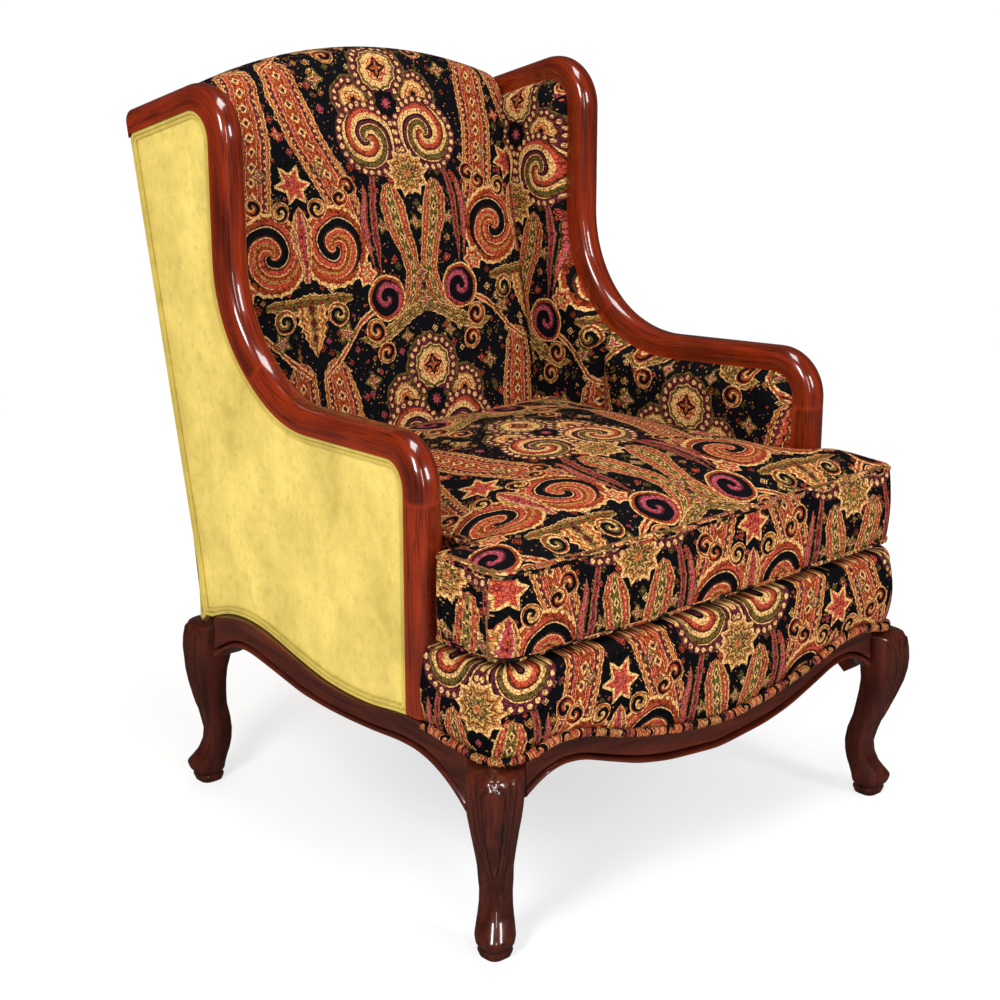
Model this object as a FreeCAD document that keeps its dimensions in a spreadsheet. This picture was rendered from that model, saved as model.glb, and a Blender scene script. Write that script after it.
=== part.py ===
import FreeCAD, Part
import math
import os

import Sketcher

# Wing armchair with a show-wood frame, upholstered back, wings and arms, and a loose T-shaped
# seat cushion. Millimetres. +Z is up, the front of the chair faces -Y, +X is the sitter's left
# when they face -Y, and the origin lies on the floor under the middle of the chair.

os.makedirs("parts", exist_ok=True)
doc = FreeCAD.newDocument("wing_armchair")
sheet = doc.addObject("Spreadsheet::Sheet", "sizes")

SIZES = [
    # plan
    ("wing_half", 320, "middle of the chair to the middle of a wing"),
    ("arm_splay", 4.9, "degrees that each arm opens towards the front"),
    ("stump_line", -264, "front of the arm stumps"),
    ("joint_line", 107, "where the arm rail meets the wing rail"),
    ("wing_line", 167, "front of the wings"),
    ("back_line", 208, "outside of the back, carried down to the floor"),
    ("back_rake", 11.7, "degrees that the back leans"),
    # show-wood moulding of wings, arms and stumps
    ("moulding_width", 40, "moulding, seen from the front"),
    ("moulding_depth", 34, "moulding, from its nose to its back"),
    ("moulding_round", 15, "easing of the nose"),
    ("wing_corner", 1024, "height of the wing's front corner before rounding"),
    ("wing_slope", 16.7, "degrees that the wing's top falls towards the back"),
    ("wing_bend", 72, "rounding of the wing's front corner"),
    ("hollow_bend", 165, "hollow between wing and arm"),
    ("arm_rear_height", 601, "arm line at the front of the wing"),
    ("arm_front_height", 628, "arm line at the front of the stump"),
    ("arm_bend", 67, "rounding of the arm's front corner"),
    ("stump_joint", 545, "height of the joint between arm rail and stump"),
    # seat rails and legs
    ("rail_top", 335, "top of the seat rails"),
    ("rail_thick", 28, "thickness of side and rear rails"),
    ("front_rail_face", -384, "front of the front rail behind the upholstery"),
    ("front_rail_thick", 35, "front rail without its moulded apron"),
    ("apron_proud", 10, "apron in front of the rail's face"),
    ("front_bow", 15, "how far the front apron bows forward"),
    ("side_rail_front", 356.5, "outside of a side rail at its front end"),
    ("side_rail_start", -346, "front end of the side rails"),
    ("side_rail_splay", 3, "degrees that a side rail opens towards the front"),
    ("side_apron_proud", 13.5, "apron outside the side rail's face"),
    ("toe_front_half", 374, "middle of the chair to a front toe"),
    ("toe_front_line", -398, "front toes"),
    ("toe_rear_half", 344, "middle of the chair to a rear toe"),
    ("toe_rear_line", 301, "rear toes"),
    ("knee_reach_front", 25, "front knee beyond its toe, along the diagonal"),
    ("knee_reach_rear", 7, "rear knee beyond its toe, along the diagonal"),
    ("ankle_height", 74, "height of the ankle"),
    ("ankle_set", 21, "ankle behind the toe, along the diagonal"),
    ("ankle_size", 33, "ankle, across its flats"),
    ("knee_height", 205, "height of the knee"),
    ("knee_size", 60, "knee, across its flats"),
    ("leg_block", 56, "square block of the leg between the rails"),
    # hidden frame
    ("post_width", 33, "back posts, seen from the back"),
    ("post_thick", 26, "side posts, across the arm"),
    ("webbing_thick", 2.5, "webbing strap"),
    ("webbing_width", 50, "webbing strap"),
    # upholstery
    ("panel_thick", 4, "outside panels"),
    ("panel_low", 244, "underside of the border and of the outside panels"),
    ("panel_clear", 0.6, "outside panels above the aprons"),
    ("welt_thick", 3, "double welt in front of its panel"),
    ("welt_width", 10, "double welt"),
    ("side_pad", 45, "middle of a wing or arm to its padded inside"),
    ("pad_edge", 13, "eased edge of the wing and arm pads"),
    ("deck_top", 371.7, "top of the sprung deck"),
    ("border_front", -410, "front of the upholstered border at its corners"),
    ("border_side", 374, "middle of the chair to the side of the border"),
    ("border_corner", 46, "corner radius of the border"),
    ("border_bow", 12, "how far the border bows forward"),
    ("back_frame", 34, "depth of the back's frame with its outside panel"),
    ("back_pad", 33, "inside back pad at its edges"),
    ("back_crown", 24, "swell of the inside back pad"),
    ("crest_height", 1034, "top of the inside back, along its rake"),
    ("crest_drop", 50, "fall of the crest from its middle to its shoulders"),
    ("crest_pad", 22, "padding over the crest rail"),
    # loose cushion
    ("cushion_bottom", 372, "underside of the cushion"),
    ("cushion_boxing", 110, "height of the cushion's boxing"),
    ("cushion_crown", 46, "crown above the boxing"),
    ("cushion_front", -402, "front of the cushion"),
    ("cushion_bow", 8, "how far the cushion's front bows"),
    ("cushion_ear", 367, "middle of the chair to the end of an ear"),
    ("cushion_gap", 0.6, "cushion to the pads beside it"),
    ("cushion_pinch", 5, "how far the boxing draws in"),
    ("piping_radius", 3, "radius of the piping"),
]
for row, (word, number, meaning) in enumerate(SIZES, start=1):
    sheet.set("A%d" % row, word)
    sheet.set("B%d" % row, str(number))
    sheet.set("C%d" % row, meaning)
    sheet.setAlias("B%d" % row, word)
doc.recompute()


class Dim:
    """A size that knows its value and the formula that ties it to the sheet."""

    def __init__(self, value, text):
        self.value = value
        self.text = text

    def __add__(self, other):
        other = dim(other)
        return Dim(self.value + other.value, "(%s + %s)" % (self.text, other.text))

    __radd__ = __add__

    def __sub__(self, other):
        other = dim(other)
        return Dim(self.value - other.value, "(%s - %s)" % (self.text, other.text))

    def __rsub__(self, other):
        return dim(other) - self

    def __mul__(self, other):
        other = dim(other)
        return Dim(self.value * other.value, "(%s * %s)" % (self.text, other.text))

    __rmul__ = __mul__

    def __truediv__(self, other):
        other = dim(other)
        return Dim(self.value / other.value, "(%s / %s)" % (self.text, other.text))

    def __neg__(self):
        return self * -1


def dim(number):
    return number if isinstance(number, Dim) else Dim(float(number), "%.6g" % number)


def size(word):
    return Dim(float(sheet.get(word)), "sizes." + word)


def tan(angle):
    return Dim(math.tan(math.radians(angle.value)), "tan(%s)" % angle.text)


def cos(angle):
    return Dim(math.cos(math.radians(angle.value)), "cos(%s)" % angle.text)


def root(number):
    return Dim(math.sqrt(number.value), "sqrt(%s)" % number.text)


def bind(thing, prop, formula):
    thing.setExpression(prop, dim(formula).text)


# Bodies, sketches and features

def new_body(name):
    body = doc.addObject("PartDesign::Body", name)
    body.Label = name
    return body


def sketch(body, plane, name, offset=None):
    drawing = body.newObject("Sketcher::SketchObject", name)
    origin_plane = [item for item in body.Origin.OriginFeatures if item.Role == plane][0]
    drawing.AttachmentSupport = [(origin_plane, "")]
    drawing.MapMode = "FlatFace"
    if offset is not None:
        bind(drawing, "AttachmentOffset.Base.z", offset)
    return drawing


def lock(drawing, point, x, y):
    for kind, number in (("DistanceX", x), ("DistanceY", y)):
        rule = drawing.addConstraint(Sketcher.Constraint(kind, -1, 1, point, 1, number.value))
        bind(drawing, "Constraints[%d]" % rule, number)


def outline(drawing, corners, closed=True):
    """Straight lines from corner to corner (x, y, rounding), each rounding a tangent arc."""
    corners = [(dim(x), dim(y), dim(bend) if bend else None) for x, y, bend in corners]
    count = len(corners)
    places = [FreeCAD.Vector(x.value, y.value, 0) for x, y, bend in corners]
    inner = range(count) if closed else range(1, count - 1)
    points = []
    for place, (x, y, bend) in zip(places, corners):
        point = drawing.addGeometry(Part.Point(place), True)
        lock(drawing, point, x, y)
        points.append(point)
    bends = {}
    for i in inner:
        if corners[i][2] is None:
            continue
        radius = corners[i][2].value
        back = (places[i - 1] - places[i]).normalize()
        ahead = (places[(i + 1) % count] - places[i]).normalize()
        half = back.getAngle(ahead) / 2
        run = radius / math.tan(half)
        centre = places[i] + (back + ahead).normalize() * (radius / math.sin(half))
        bends[i] = (places[i] + back * run, places[i] + ahead * run, centre, radius)
    lines = []
    for i in range(count if closed else count - 1):
        j = (i + 1) % count
        start = bends[i][1] if i in bends else places[i]
        end = bends[j][0] if j in bends else places[j]
        lines.append(drawing.addGeometry(Part.LineSegment(start, end)))
    for i in inner:
        before = lines[i - 1]
        after = lines[i]
        if i in bends:
            start, end, centre, radius = bends[i]
            turns_left = (centre - start).cross(places[i] - start).z < 0
            circle = Part.Circle(centre, FreeCAD.Vector(0, 0, 1), radius)
            first, last = (start, end) if turns_left else (end, start)
            angles = [math.atan2(spot.y - centre.y, spot.x - centre.x) for spot in (first, last)]
            arc = drawing.addGeometry(Part.ArcOfCircle(circle, angles[0], angles[1]))
            start_end = (1, 2) if turns_left else (2, 1)
            drawing.addConstraint(Sketcher.Constraint("Tangent", before, 2, arc, start_end[0]))
            drawing.addConstraint(Sketcher.Constraint("Tangent", arc, start_end[1], after, 1))
            rule = drawing.addConstraint(Sketcher.Constraint("Radius", arc, radius))
            bind(drawing, "Constraints[%d]" % rule, corners[i][2])
            drawing.addConstraint(Sketcher.Constraint("PointOnObject", points[i], 1, before))
            drawing.addConstraint(Sketcher.Constraint("PointOnObject", points[i], 1, after))
        else:
            drawing.addConstraint(Sketcher.Constraint("Coincident", before, 2, points[i], 1))
            drawing.addConstraint(Sketcher.Constraint("Coincident", after, 1, points[i], 1))
    if not closed:
        drawing.addConstraint(Sketcher.Constraint("Coincident", lines[0], 1, points[0], 1))
        drawing.addConstraint(Sketcher.Constraint("Coincident", lines[-1], 2, points[-1], 1))
    return drawing


def pad(body, drawing, name, length, both_ways=False):
    feature = body.newObject("PartDesign::Pad", name)
    feature.Profile = drawing
    feature.Midplane = both_ways
    bind(feature, "Length", length)
    return feature


def pocket(body, drawing, name, length, both_ways=False, reverse=False):
    """A cut that has to take something away."""
    doc.recompute()
    before = body.Shape.Volume
    feature = body.newObject("PartDesign::Pocket", name)
    feature.Profile = drawing
    feature.Midplane = both_ways
    feature.Reversed = reverse
    bind(feature, "Length", length)
    doc.recompute()
    if body.Shape.Volume > before - 1:
        raise RuntimeError(name + " cuts nothing")
    return feature


def sweep(body, section, path, name):
    doc.recompute()
    feature = body.newObject("PartDesign::AdditivePipe", name)
    feature.Profile = section
    feature.Spine = (path, ["Edge%d" % (i + 1) for i in range(len(path.Shape.Edges))])
    return feature


def loft(body, sections, name, ruled=False):
    feature = body.newObject("PartDesign::AdditiveLoft", name)
    feature.Profile = sections[0]
    feature.Sections = sections[1:]
    feature.Ruled = ruled
    return feature


def stacked_form(name, plans):
    """A faceted solid through level outlines, given as (height, corners), low to high."""
    levels = []
    for number, (height, corners) in enumerate(plans, start=1):
        level = doc.addObject("Sketcher::SketchObject", "%s_level_%d" % (name, number))
        level.Placement.Base.z = dim(height).value
        bind(level, "Placement.Base.z", height)
        levels.append(outline(level, corners))
    form = doc.addObject("Part::Loft", name + "_curve")
    form.Sections = levels
    form.Solid = True
    form.Ruled = True
    form.Linearize = True
    return form


def eased_corner(x, y, ease, x_side, y_side, x_first):
    """Three facets for the corner at x, y; the sides say which way is out."""
    steps = [(0, 1), (0.29, 0.29), (1, 0)]
    return [(x - ease * x_in * x_side, y - ease * y_in * y_side, None)
            for x_in, y_in in (reversed(steps) if x_first else steps)]


def ease_edges(body, name, amount, chosen, kind="Chamfer"):
    """Ease the edges of the body's last feature that the test picks."""
    doc.recompute()
    tip = body.Tip
    edges = ["Edge%d" % (i + 1) for i, edge in enumerate(tip.Shape.Edges) if chosen(edge)]
    feature = body.newObject("PartDesign::" + kind, name)
    feature.Base = (tip, edges)
    bind(feature, "Size" if kind == "Chamfer" else "Radius", amount)
    return feature


def cut(name, piece, tools):
    """The piece without what its neighbours take of its space."""
    doc.recompute()
    piece.Label = name + "_blank"
    if len(tools) > 1:
        tool = doc.addObject("Part::MultiFuse", name + "_neighbours")
        tool.Shapes = tools
    else:
        tool = tools[0]
    result = doc.addObject("Part::Cut", name)
    result.Base = piece
    result.Tool = tool
    result.Label = name
    return result


def place(thing, x=0, y=0, z=0, turn=0, axis=(0, 0, 1)):
    """Bound position, and a bound turn about one axis."""
    thing.Placement = FreeCAD.Placement(
        FreeCAD.Vector(dim(x).value, dim(y).value, dim(z).value),
        FreeCAD.Rotation(FreeCAD.Vector(*axis), dim(turn).value if dim(turn).value else 1e-9))
    bind(thing, "Placement.Base.x", x)
    bind(thing, "Placement.Base.y", y)
    bind(thing, "Placement.Base.z", z)
    if isinstance(turn, Dim):
        bind(thing, "Placement.Rotation.Angle", turn)
    return thing


SIDES = (("left", 1), ("right", -1))

wing_half = size("wing_half")
splay = size("arm_splay")
joint_line = size("joint_line")
wing_line = size("wing_line")
stump_line = size("stump_line")
depth = size("moulding_depth")
width = size("moulding_width")
rail_top = size("rail_top")
back_line = size("back_line")
rake = size("back_rake")

# Along an arm, lengths run from the wing joint and are a little longer than they look from the
# side, because the arm opens outwards.
stump_run = (stump_line - joint_line) / cos(splay)
wing_run = (wing_line - joint_line) / cos(splay)
arm_fall = (size("arm_front_height") - size("arm_rear_height")) / (wing_line - stump_line)
panel_at = size("post_thick") / 2
panel_low = size("panel_low")
webbing = size("webbing_thick") * 2


def back_y(height):
    """Outside of the back at a height."""
    return back_line + tan(rake) * height


def wing_top_at(y):
    """Nose of the wing's top at a distance from the front."""
    return size("wing_corner") - tan(size("wing_slope")) * (y - wing_line)


# The seat frame: faces of the front and rear rails, and the leg blocks between them.
rail_front = size("front_rail_face")
rail_front_inside = rail_front + size("front_rail_thick")
rail_rear = back_y(rail_top) - size("panel_thick")
rail_rear_inside = rail_rear - size("rail_thick")
block_set_front = (rail_front + size("leg_block") / 2 - size("toe_front_line")) * root(dim(2))
block_set_rear = (size("toe_rear_line") - rail_rear + size("leg_block") / 2) * root(dim(2))


# Show-wood moulding: one round-nosed section follows the wing, the hollow and the arm, cut from
# three pieces on each side.

def nose_section(drawing, nose, run_dir):
    """Flat back and a nose eased in facets; run_dir points from the nose to the back."""
    half = width / 2
    ease = size("moulding_round")
    steps = [(0, 1), (0.13, 0.5), (0.5, 0.13), (1, 0)]
    right = [(half - ease * x_in, nose + ease * run_dir * y_in, None) for x_in, y_in in steps]
    left = [(-x, y, bend) for x, y, bend in reversed(right)]
    back = nose + depth * run_dir
    return outline(drawing, [(half, back, None)] + right + left + [(-half, back, None)])


def mitre(body, name, turn, wing_side):
    """Cut the blank off at the upright plane where arm and wing meet, half of the splay each."""
    drawing = sketch(body, "XY_Plane", name + "_mitre")
    reach = 60
    far = -500 if wing_side else 500
    lean = tan(splay / 2) * reach * (turn if wing_side else -turn)
    outline(drawing, [(-reach, -lean, None), (reach, lean, None), (reach, far, None), (-reach, far, None)])
    pocket(body, drawing, name + "_joint", 4000, both_ways=True)


def wing_rail(side, turn):
    name = "wing_rail_" + side
    body = new_body(name)
    path = sketch(body, "YZ_Plane", name + "_line")
    start_run = back_y(960) - joint_line
    outline(path, [
        (start_run, wing_top_at(start_run + joint_line), None),
        (wing_line - joint_line, size("wing_corner"), size("wing_bend")),
        (wing_line - joint_line, size("arm_rear_height"), size("hollow_bend")),
        (stump_line - joint_line, size("arm_front_height"), None),
    ], closed=False)
    section = sketch(body, "XZ_Plane", name + "_section", offset=-start_run)
    top = wing_top_at(start_run + joint_line)
    nose_section(section, top, -1)
    sweep(body, section, path, name + "_moulding")
    mitre(body, name, turn, wing_side=True)
    behind = sketch(body, "YZ_Plane", name + "_end_line")
    skin = joint_line + size("panel_thick") / cos(rake)
    outline(behind, [(back_y(890) - skin, 890, None), (back_y(980) - skin, 980, None),
                     (back_y(1100), 980, None), (back_y(1100), 890, None)])
    pocket(body, behind, name + "_end", 200, both_ways=True)
    return place(body, x=wing_half * turn, y=joint_line)


def arm_rail(side, turn):
    name = "arm_rail_" + side
    body = new_body(name)
    path = sketch(body, "YZ_Plane", name + "_line")
    outline(path, [
        (stump_run, size("stump_joint"), None),
        (stump_run, size("arm_front_height"), size("arm_bend")),
        (wing_run, size("arm_rear_height"), size("hollow_bend")),
        (wing_run, size("wing_corner") - 150, None),
    ], closed=False)
    section = sketch(body, "XY_Plane", name + "_section", offset=size("stump_joint"))
    nose_section(section, stump_run, 1)
    sweep(body, section, path, name + "_moulding")
    mitre(body, name, turn, wing_side=False)
    return place(body, x=wing_half * turn, y=joint_line, turn=splay * turn)


def stump(side, turn):
    name = "arm_stump_" + side
    body = new_body(name)
    foot = size("rail_top") - 65
    section = sketch(body, "XY_Plane", name + "_section", offset=foot)
    nose_section(section, stump_run, 1)
    pad(body, section, name + "_post", size("stump_joint") - foot)
    return place(body, x=wing_half * turn, y=joint_line, turn=splay * turn)


# Cabriole legs: axis-aligned rounded squares whose centres wander along the diagonal. The
# leg's own origin is the tip of its toe, and the diagonal points to +X, -Y.

def square(out, flats, ease):
    """A square with eased corners; out is its centre along the outward diagonal."""
    shift = out / root(dim(2))
    half = flats / 2
    corners = []
    for x_side, y_side, x_first in ((-1, -1, False), (1, -1, True), (1, 1, False), (-1, 1, True)):
        corners += eased_corner(shift + half * x_side, -shift + half * y_side, dim(ease),
                                x_side, y_side, x_first)
    return corners


def cabriole_leg(name, toe_x, toe_y, knee_reach, block_set, turn):
    ankle = size("ankle_height")
    knee = size("knee_height")
    ankle_size = size("ankle_size")
    knee_size = size("knee_size")
    set_back = size("ankle_set")
    calf = ankle + (knee - ankle) * 0.45
    stations = [
        # height, middle along the diagonal, width across the flats, corner easing
        (dim(0), dim(-25), ankle_size - 4, 9),
        (dim(12), dim(-24), ankle_size + 6, 12),
        (dim(28), dim(-26), ankle_size + 8, 14),
        (ankle - 26, -set_back - 12, ankle_size + 3, 13),
        (ankle, -set_back - 20.5, ankle_size, 13),
        (ankle + 22, -set_back - 15, ankle_size + 4, 14),
        (calf, -set_back / 2 - 9, ankle_size + 9, 15),
        (knee - 34, knee_reach - 38, knee_size - 10, 16),
        (knee, knee_reach - 38, knee_size, 17),
        (knee + 22, knee_reach - 42, knee_size + 5, 17),
        (panel_low - 1, knee_reach - 46, knee_size + 6, 17),
    ]
    curve = stacked_form(name, [(height, square(out, flats, ease)) for height, out, flats, ease in stations])
    block = doc.addObject("Part::Box", name + "_block")
    side = size("leg_block")
    bind(block, "Length", side)
    bind(block, "Width", side)
    bind(block, "Height", rail_top - knee)
    corner = -block_set / root(dim(2)) - side / 2
    place(block, x=corner, y=-corner - side, z=knee)
    leg = doc.addObject("Part::Fuse", name)
    leg.Label = name
    leg.Base = curve
    leg.Tool = block
    return place(leg, x=toe_x, y=toe_y, turn=dim(turn))


# Seat rails. The front and side rails carry a proud, shaped apron below the upholstery.

FRONT_LOW = [(268, 240, 60), (0, 158, 430)]
FRONT_HIGH = [(285, 281, 80), (0, 205, 500)]
# Side curves run from the front end of the rail to its rear end.
SIDE_LOW = [(97, 236, 60), (282, 213, 250), (514, 248, 90)]
SIDE_HIGH = [(97, 277, 70), (267, 247, 260), (507, 294, 120)]
SIDE_RUN = 582


def front_curve(peaks, end_x, end_z):
    """Serpentine of the front, mirrored about the middle."""
    (peak_x, peak_z, peak_bend), (middle, low_z, low_bend) = peaks
    return [(-end_x, end_z, None), (-peak_x, peak_z, peak_bend), (middle, low_z, low_bend),
            (peak_x, peak_z, peak_bend), (end_x, end_z, None)]


def front_rail(legs):
    body = new_body("front_rail")
    face = rail_front
    back = rail_front_inside
    proud = face - size("apron_proud")
    block_edge = size("toe_front_half") - block_set_front / root(dim(2)) - size("leg_block") / 2
    ear = block_edge + 30
    plan = sketch(body, "XY_Plane", "front_rail_plan", offset=rail_top)
    outline(plan, [
        (-block_edge, back, None), (-block_edge, face, None), (-ear, face, None), (-ear, proud, None),
        (0, proud - size("front_bow") * 1.6, 1600), (ear, proud, None), (ear, face, None),
        (block_edge, face, None), (block_edge, back, None)])
    rail = pad(body, plan, "front_rail_block", rail_top - 150)
    rail.Reversed = True
    below = sketch(body, "XZ_Plane", "front_rail_serpentine")
    outline(below, front_curve(FRONT_LOW, 345, 188) + [(345, 100, None), (-345, 100, None)])
    pocket(body, below, "front_rail_lower_edge", 2000, both_ways=True)
    above = sketch(body, "XZ_Plane", "front_rail_rebate_line", offset=-face)
    outline(above, front_curve(FRONT_HIGH, 420, 240) + [(420, 400, None), (-420, 400, None)])
    pocket(body, above, "front_rail_rebate", 200, reverse=True)
    return cut("front_rail", body, legs)


def place_on_side(body, turn):
    """Side rails and what lies along them start at their front end, turned with the splay."""
    return place(body, x=size("side_rail_front") * turn, y=size("side_rail_start"),
                 turn=size("side_rail_splay") * turn)


def side_rail(side, turn, legs):
    name = "side_rail_" + side
    body = new_body(name)
    low = [(0, 200, None)] + SIDE_LOW + [(SIDE_RUN, 200, None)]
    high = [(0, 240, None)] + SIDE_HIGH + [(SIDE_RUN, 240, None)]
    board = sketch(body, "YZ_Plane", name + "_board_outline")
    outline(board, low + [(SIDE_RUN, rail_top, None), (0, rail_top, None)])
    pad(body, board, name + "_board", size("rail_thick")).Reversed = turn > 0
    apron = sketch(body, "YZ_Plane", name + "_apron_outline")
    outline(apron, low + high[::-1])
    pad(body, apron, name + "_apron", size("side_apron_proud")).Reversed = turn < 0
    place_on_side(body, turn)
    return cut(name, body, legs)


def rear_rail(legs):
    """Plain rail between the rear legs, its underside a shallow arch."""
    body = new_body("rear_rail")
    half = size("toe_rear_half") - block_set_rear / root(dim(2))
    board = sketch(body, "XZ_Plane", "rear_rail_outline", offset=-rail_rear)
    outline(board, [(-half, 240, None), (-half * 0.75, 240, None), (0, 262, 1500), (half * 0.75, 240, None),
                    (half, 240, None), (half, rail_top, None), (-half, rail_top, None)])
    pad(body, board, "rear_rail_board", size("rail_thick"))
    return cut("rear_rail", body, legs)


# Hidden frame above the seat: back posts, side posts, crest, lower back rail and tack rails.

def place_raked(body):
    """The back is drawn upright and leaned over about the line where it meets the floor."""
    return place(body, y=back_line, turn=-rake, axis=(1, 0, 0))


def back_post(side, turn, neighbours):
    name = "back_post_" + side
    body = new_body(name)
    face = -size("panel_thick")
    front = -size("back_frame")
    shape = sketch(body, "YZ_Plane", name + "_outline")
    foot = rail_top / cos(rake) - 12
    head = size("crest_height") - size("crest_drop") - 36
    outline(shape, [(front, foot, None), (face, foot, None), (face, head, None), (front, head, None)])
    pad(body, shape, name + "_board", size("post_width")).Reversed = turn > 0
    place_raked(body)
    bind(body, "Placement.Base.x", (wing_half + panel_at) * turn)
    return cut(name, body, neighbours)


def crest_at(x):
    """Height of the crest along the rake, at a distance from the middle."""
    share = x / (wing_half - size("side_pad"))
    return size("crest_height") - size("crest_drop") * share * share


def crest_arch(half, under):
    """The crest as a flat arc between two shoulders, some way under the padded top."""
    shoulder = crest_at(half) - under
    peak = (size("crest_height") - under) * 2 - shoulder
    return [(half, shoulder, None), (0, peak, 660), (-half, shoulder, None)]


def back_board(name, half, low, top, front, back):
    """A board across the back between two distances from its outside face."""
    body = new_body(name)
    board = sketch(body, "XZ_Plane", name + "_outline", offset=-back)
    outline(board, [(-half, low, None), (half, low, None)] + top)
    pad(body, board, name + "_board", back - front)
    return place_raked(body)


def crest_rail():
    half = wing_half + panel_at - size("post_width")
    top = crest_arch(half, size("crest_pad"))
    return back_board("crest_rail", half, size("crest_height") - 130, top,
                      -size("back_frame"), -size("panel_thick"))


def back_lower_rail():
    """Rail that the foot of the inside back is pulled under and tacked to."""
    half = wing_half + panel_at - size("post_width")
    low = rail_top + 65
    top = [(half, low + 45, None), (-half, low + 45, None)]
    return back_board("back_lower_rail", half, low, top, -size("back_frame"), -size("panel_thick"))


def side_post(side, turn, neighbours):
    """Upright under the hollow of the wing, from the side rail to the wing rail."""
    name = "side_post_" + side
    body = new_body(name)
    shape = sketch(body, "YZ_Plane", name + "_outline")
    middle_y = wing_line - size("hollow_bend")
    middle_z = size("arm_rear_height") + size("hollow_bend")
    reach = size("hollow_bend") + depth / 2
    ends = []
    for y in (wing_line - 30, wing_line + 8):
        run = y - middle_y
        ends.append((y - joint_line, middle_z - root(reach * reach - run * run), None))
    outline(shape, [(ends[0][0], rail_top, None), (ends[1][0], rail_top, None), ends[1], ends[0]])
    pad(body, shape, name + "_board", size("post_thick"), both_ways=True)
    place(body, x=wing_half * turn, y=joint_line)
    return cut(name, body, neighbours)


def tack_rail(side, turn, neighbours):
    """Low rail above the seat that the inside arm is tacked to."""
    name = "tack_rail_" + side
    body = new_body(name)
    shape = sketch(body, "YZ_Plane", name + "_outline")
    low = rail_top + 30
    outline(shape, [(stump_run + depth, low, None), (wing_run, low, None),
                    (wing_run, low + 34, None), (stump_run + depth, low + 34, None)])
    pad(body, shape, name + "_board", size("post_thick"), both_ways=True)
    place(body, x=wing_half * turn, y=joint_line, turn=splay * turn)
    return cut(name, body, neighbours)


# Sides: everything between the two faces of a wing and an arm is a slab whose outline follows
# the moulding. A wing slab and an arm slab meet at the mitre.

def wing_outline(inset, low):
    """What the wing moulding frames, in the wing's own run, down to a height."""
    under = depth + inset
    drop = under / cos(size("wing_slope"))
    front = wing_line - joint_line + under
    lean = tan(rake)
    rear = back_line - joint_line - inset
    high = dim(915)
    foot = [(-120, low, None), (rear + lean * low, low, None)]
    if low.value < rail_top.value:
        heel = rear + lean * rail_top
        foot = [(-120, low, None), (heel, low, None), (heel, rail_top, None)]
    return foot + [
        (rear + lean * high, wing_top_at(joint_line + rear + lean * high) - drop, None),
        (front, wing_top_at(wing_line + under) - drop, size("wing_bend") - under),
        (front, size("arm_rear_height") - under - arm_fall * under, size("hollow_bend") + under),
        (-120, size("arm_rear_height") - under + arm_fall * (wing_line - joint_line + 120), None)]


def arm_outline(inset, low):
    """What the arm moulding frames, in the arm's own run, down to a height."""
    under = depth + inset
    return [
        (stump_run + under, low, None), (wing_run + under, low, None),
        (wing_run + under, size("wing_corner") - 150, None),
        (wing_run + under - 2, size("wing_corner") - 150, None),
        (wing_run + under - 2, size("arm_rear_height") - under, size("hollow_bend") + under),
        (stump_run + under, size("arm_front_height") - under - arm_fall * under,
         size("arm_bend") - under)]


def side_slab(name, turn, wing, inner, outer, inset, low, easing=None):
    """A slab between two distances outward from the middle of the wing or arm."""
    body = new_body(name)
    shape = sketch(body, "YZ_Plane", name + "_outline", offset=inner * turn)
    outline(shape, wing_outline(inset, low) if wing else arm_outline(inset, low))
    pad(body, shape, name + "_slab", outer - inner).Reversed = turn < 0
    mitre(body, name, turn, wing_side=wing)
    if easing is not None:
        face = inner.value * turn

        def on_face(edge):
            box = edge.BoundBox
            at_face = abs(box.XMin - face) < 0.01 and abs(box.XMax - face) < 0.01
            at_joint = abs(box.YMin) < 5 and abs(box.YMax) < 5
            return at_face and box.ZMax > 345 and not at_joint

        ease_edges(body, name + "_edge", easing, on_face)
    return place(body, x=wing_half * turn, y=joint_line, turn=dim(0) if wing else splay * turn)


def trim_block(name, curve, plane, lift):
    """What lies below the upper edge of an apron, as a tool that panels and border are cut with."""
    body = new_body(name)
    shape = sketch(body, plane, name + "_outline")
    first, last = curve[0][0], curve[-1][0]
    raised = [(x, dim(z) + lift, bend) for x, z, bend in curve]
    outline(shape, raised + [(last, 120, None), (first, 120, None)])
    pad(body, shape, name + "_block", 1200, both_ways=True)
    return body


def side_trim(name, lift=0):
    start = size("side_rail_start")
    curve = [(-200, 200, None), (0, 240, None)] + SIDE_HIGH + [(SIDE_RUN, 240, None), (SIDE_RUN + 80, 200, None)]
    return trim_block(name, [(start + x, z, bend) for x, z, bend in curve], "YZ_Plane", lift)


def front_trim(name, lift=0):
    curve = front_curve(FRONT_HIGH, 420, 240)
    return trim_block(name, curve, "XZ_Plane", lift)


def both_slabs(name, turn, inner, outer, inset, low):
    """Wing part and arm part of a panel as one piece."""
    fused = doc.addObject("Part::Fuse", name)
    fused.Base = side_slab(name + "_wing", turn, True, inner, outer, inset, low)
    fused.Tool = side_slab(name + "_arm", turn, False, inner, outer, inset, low)
    return fused


def outside_panel(side, turn, neighbours):
    name = "outside_panel_" + side
    slabs = both_slabs(name, turn, panel_at, panel_at + size("panel_thick"), dim(0), panel_low)
    return cut(name, slabs, neighbours)


def handed(name, left):
    """The left piece and its mirror image."""
    left.Label = name + "_left"
    right = doc.addObject("Part::Mirroring", name + "_right")
    right.Label = name + "_right"
    right.Source = left
    right.Normal = (1, 0, 0)
    return [left, right]


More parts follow.
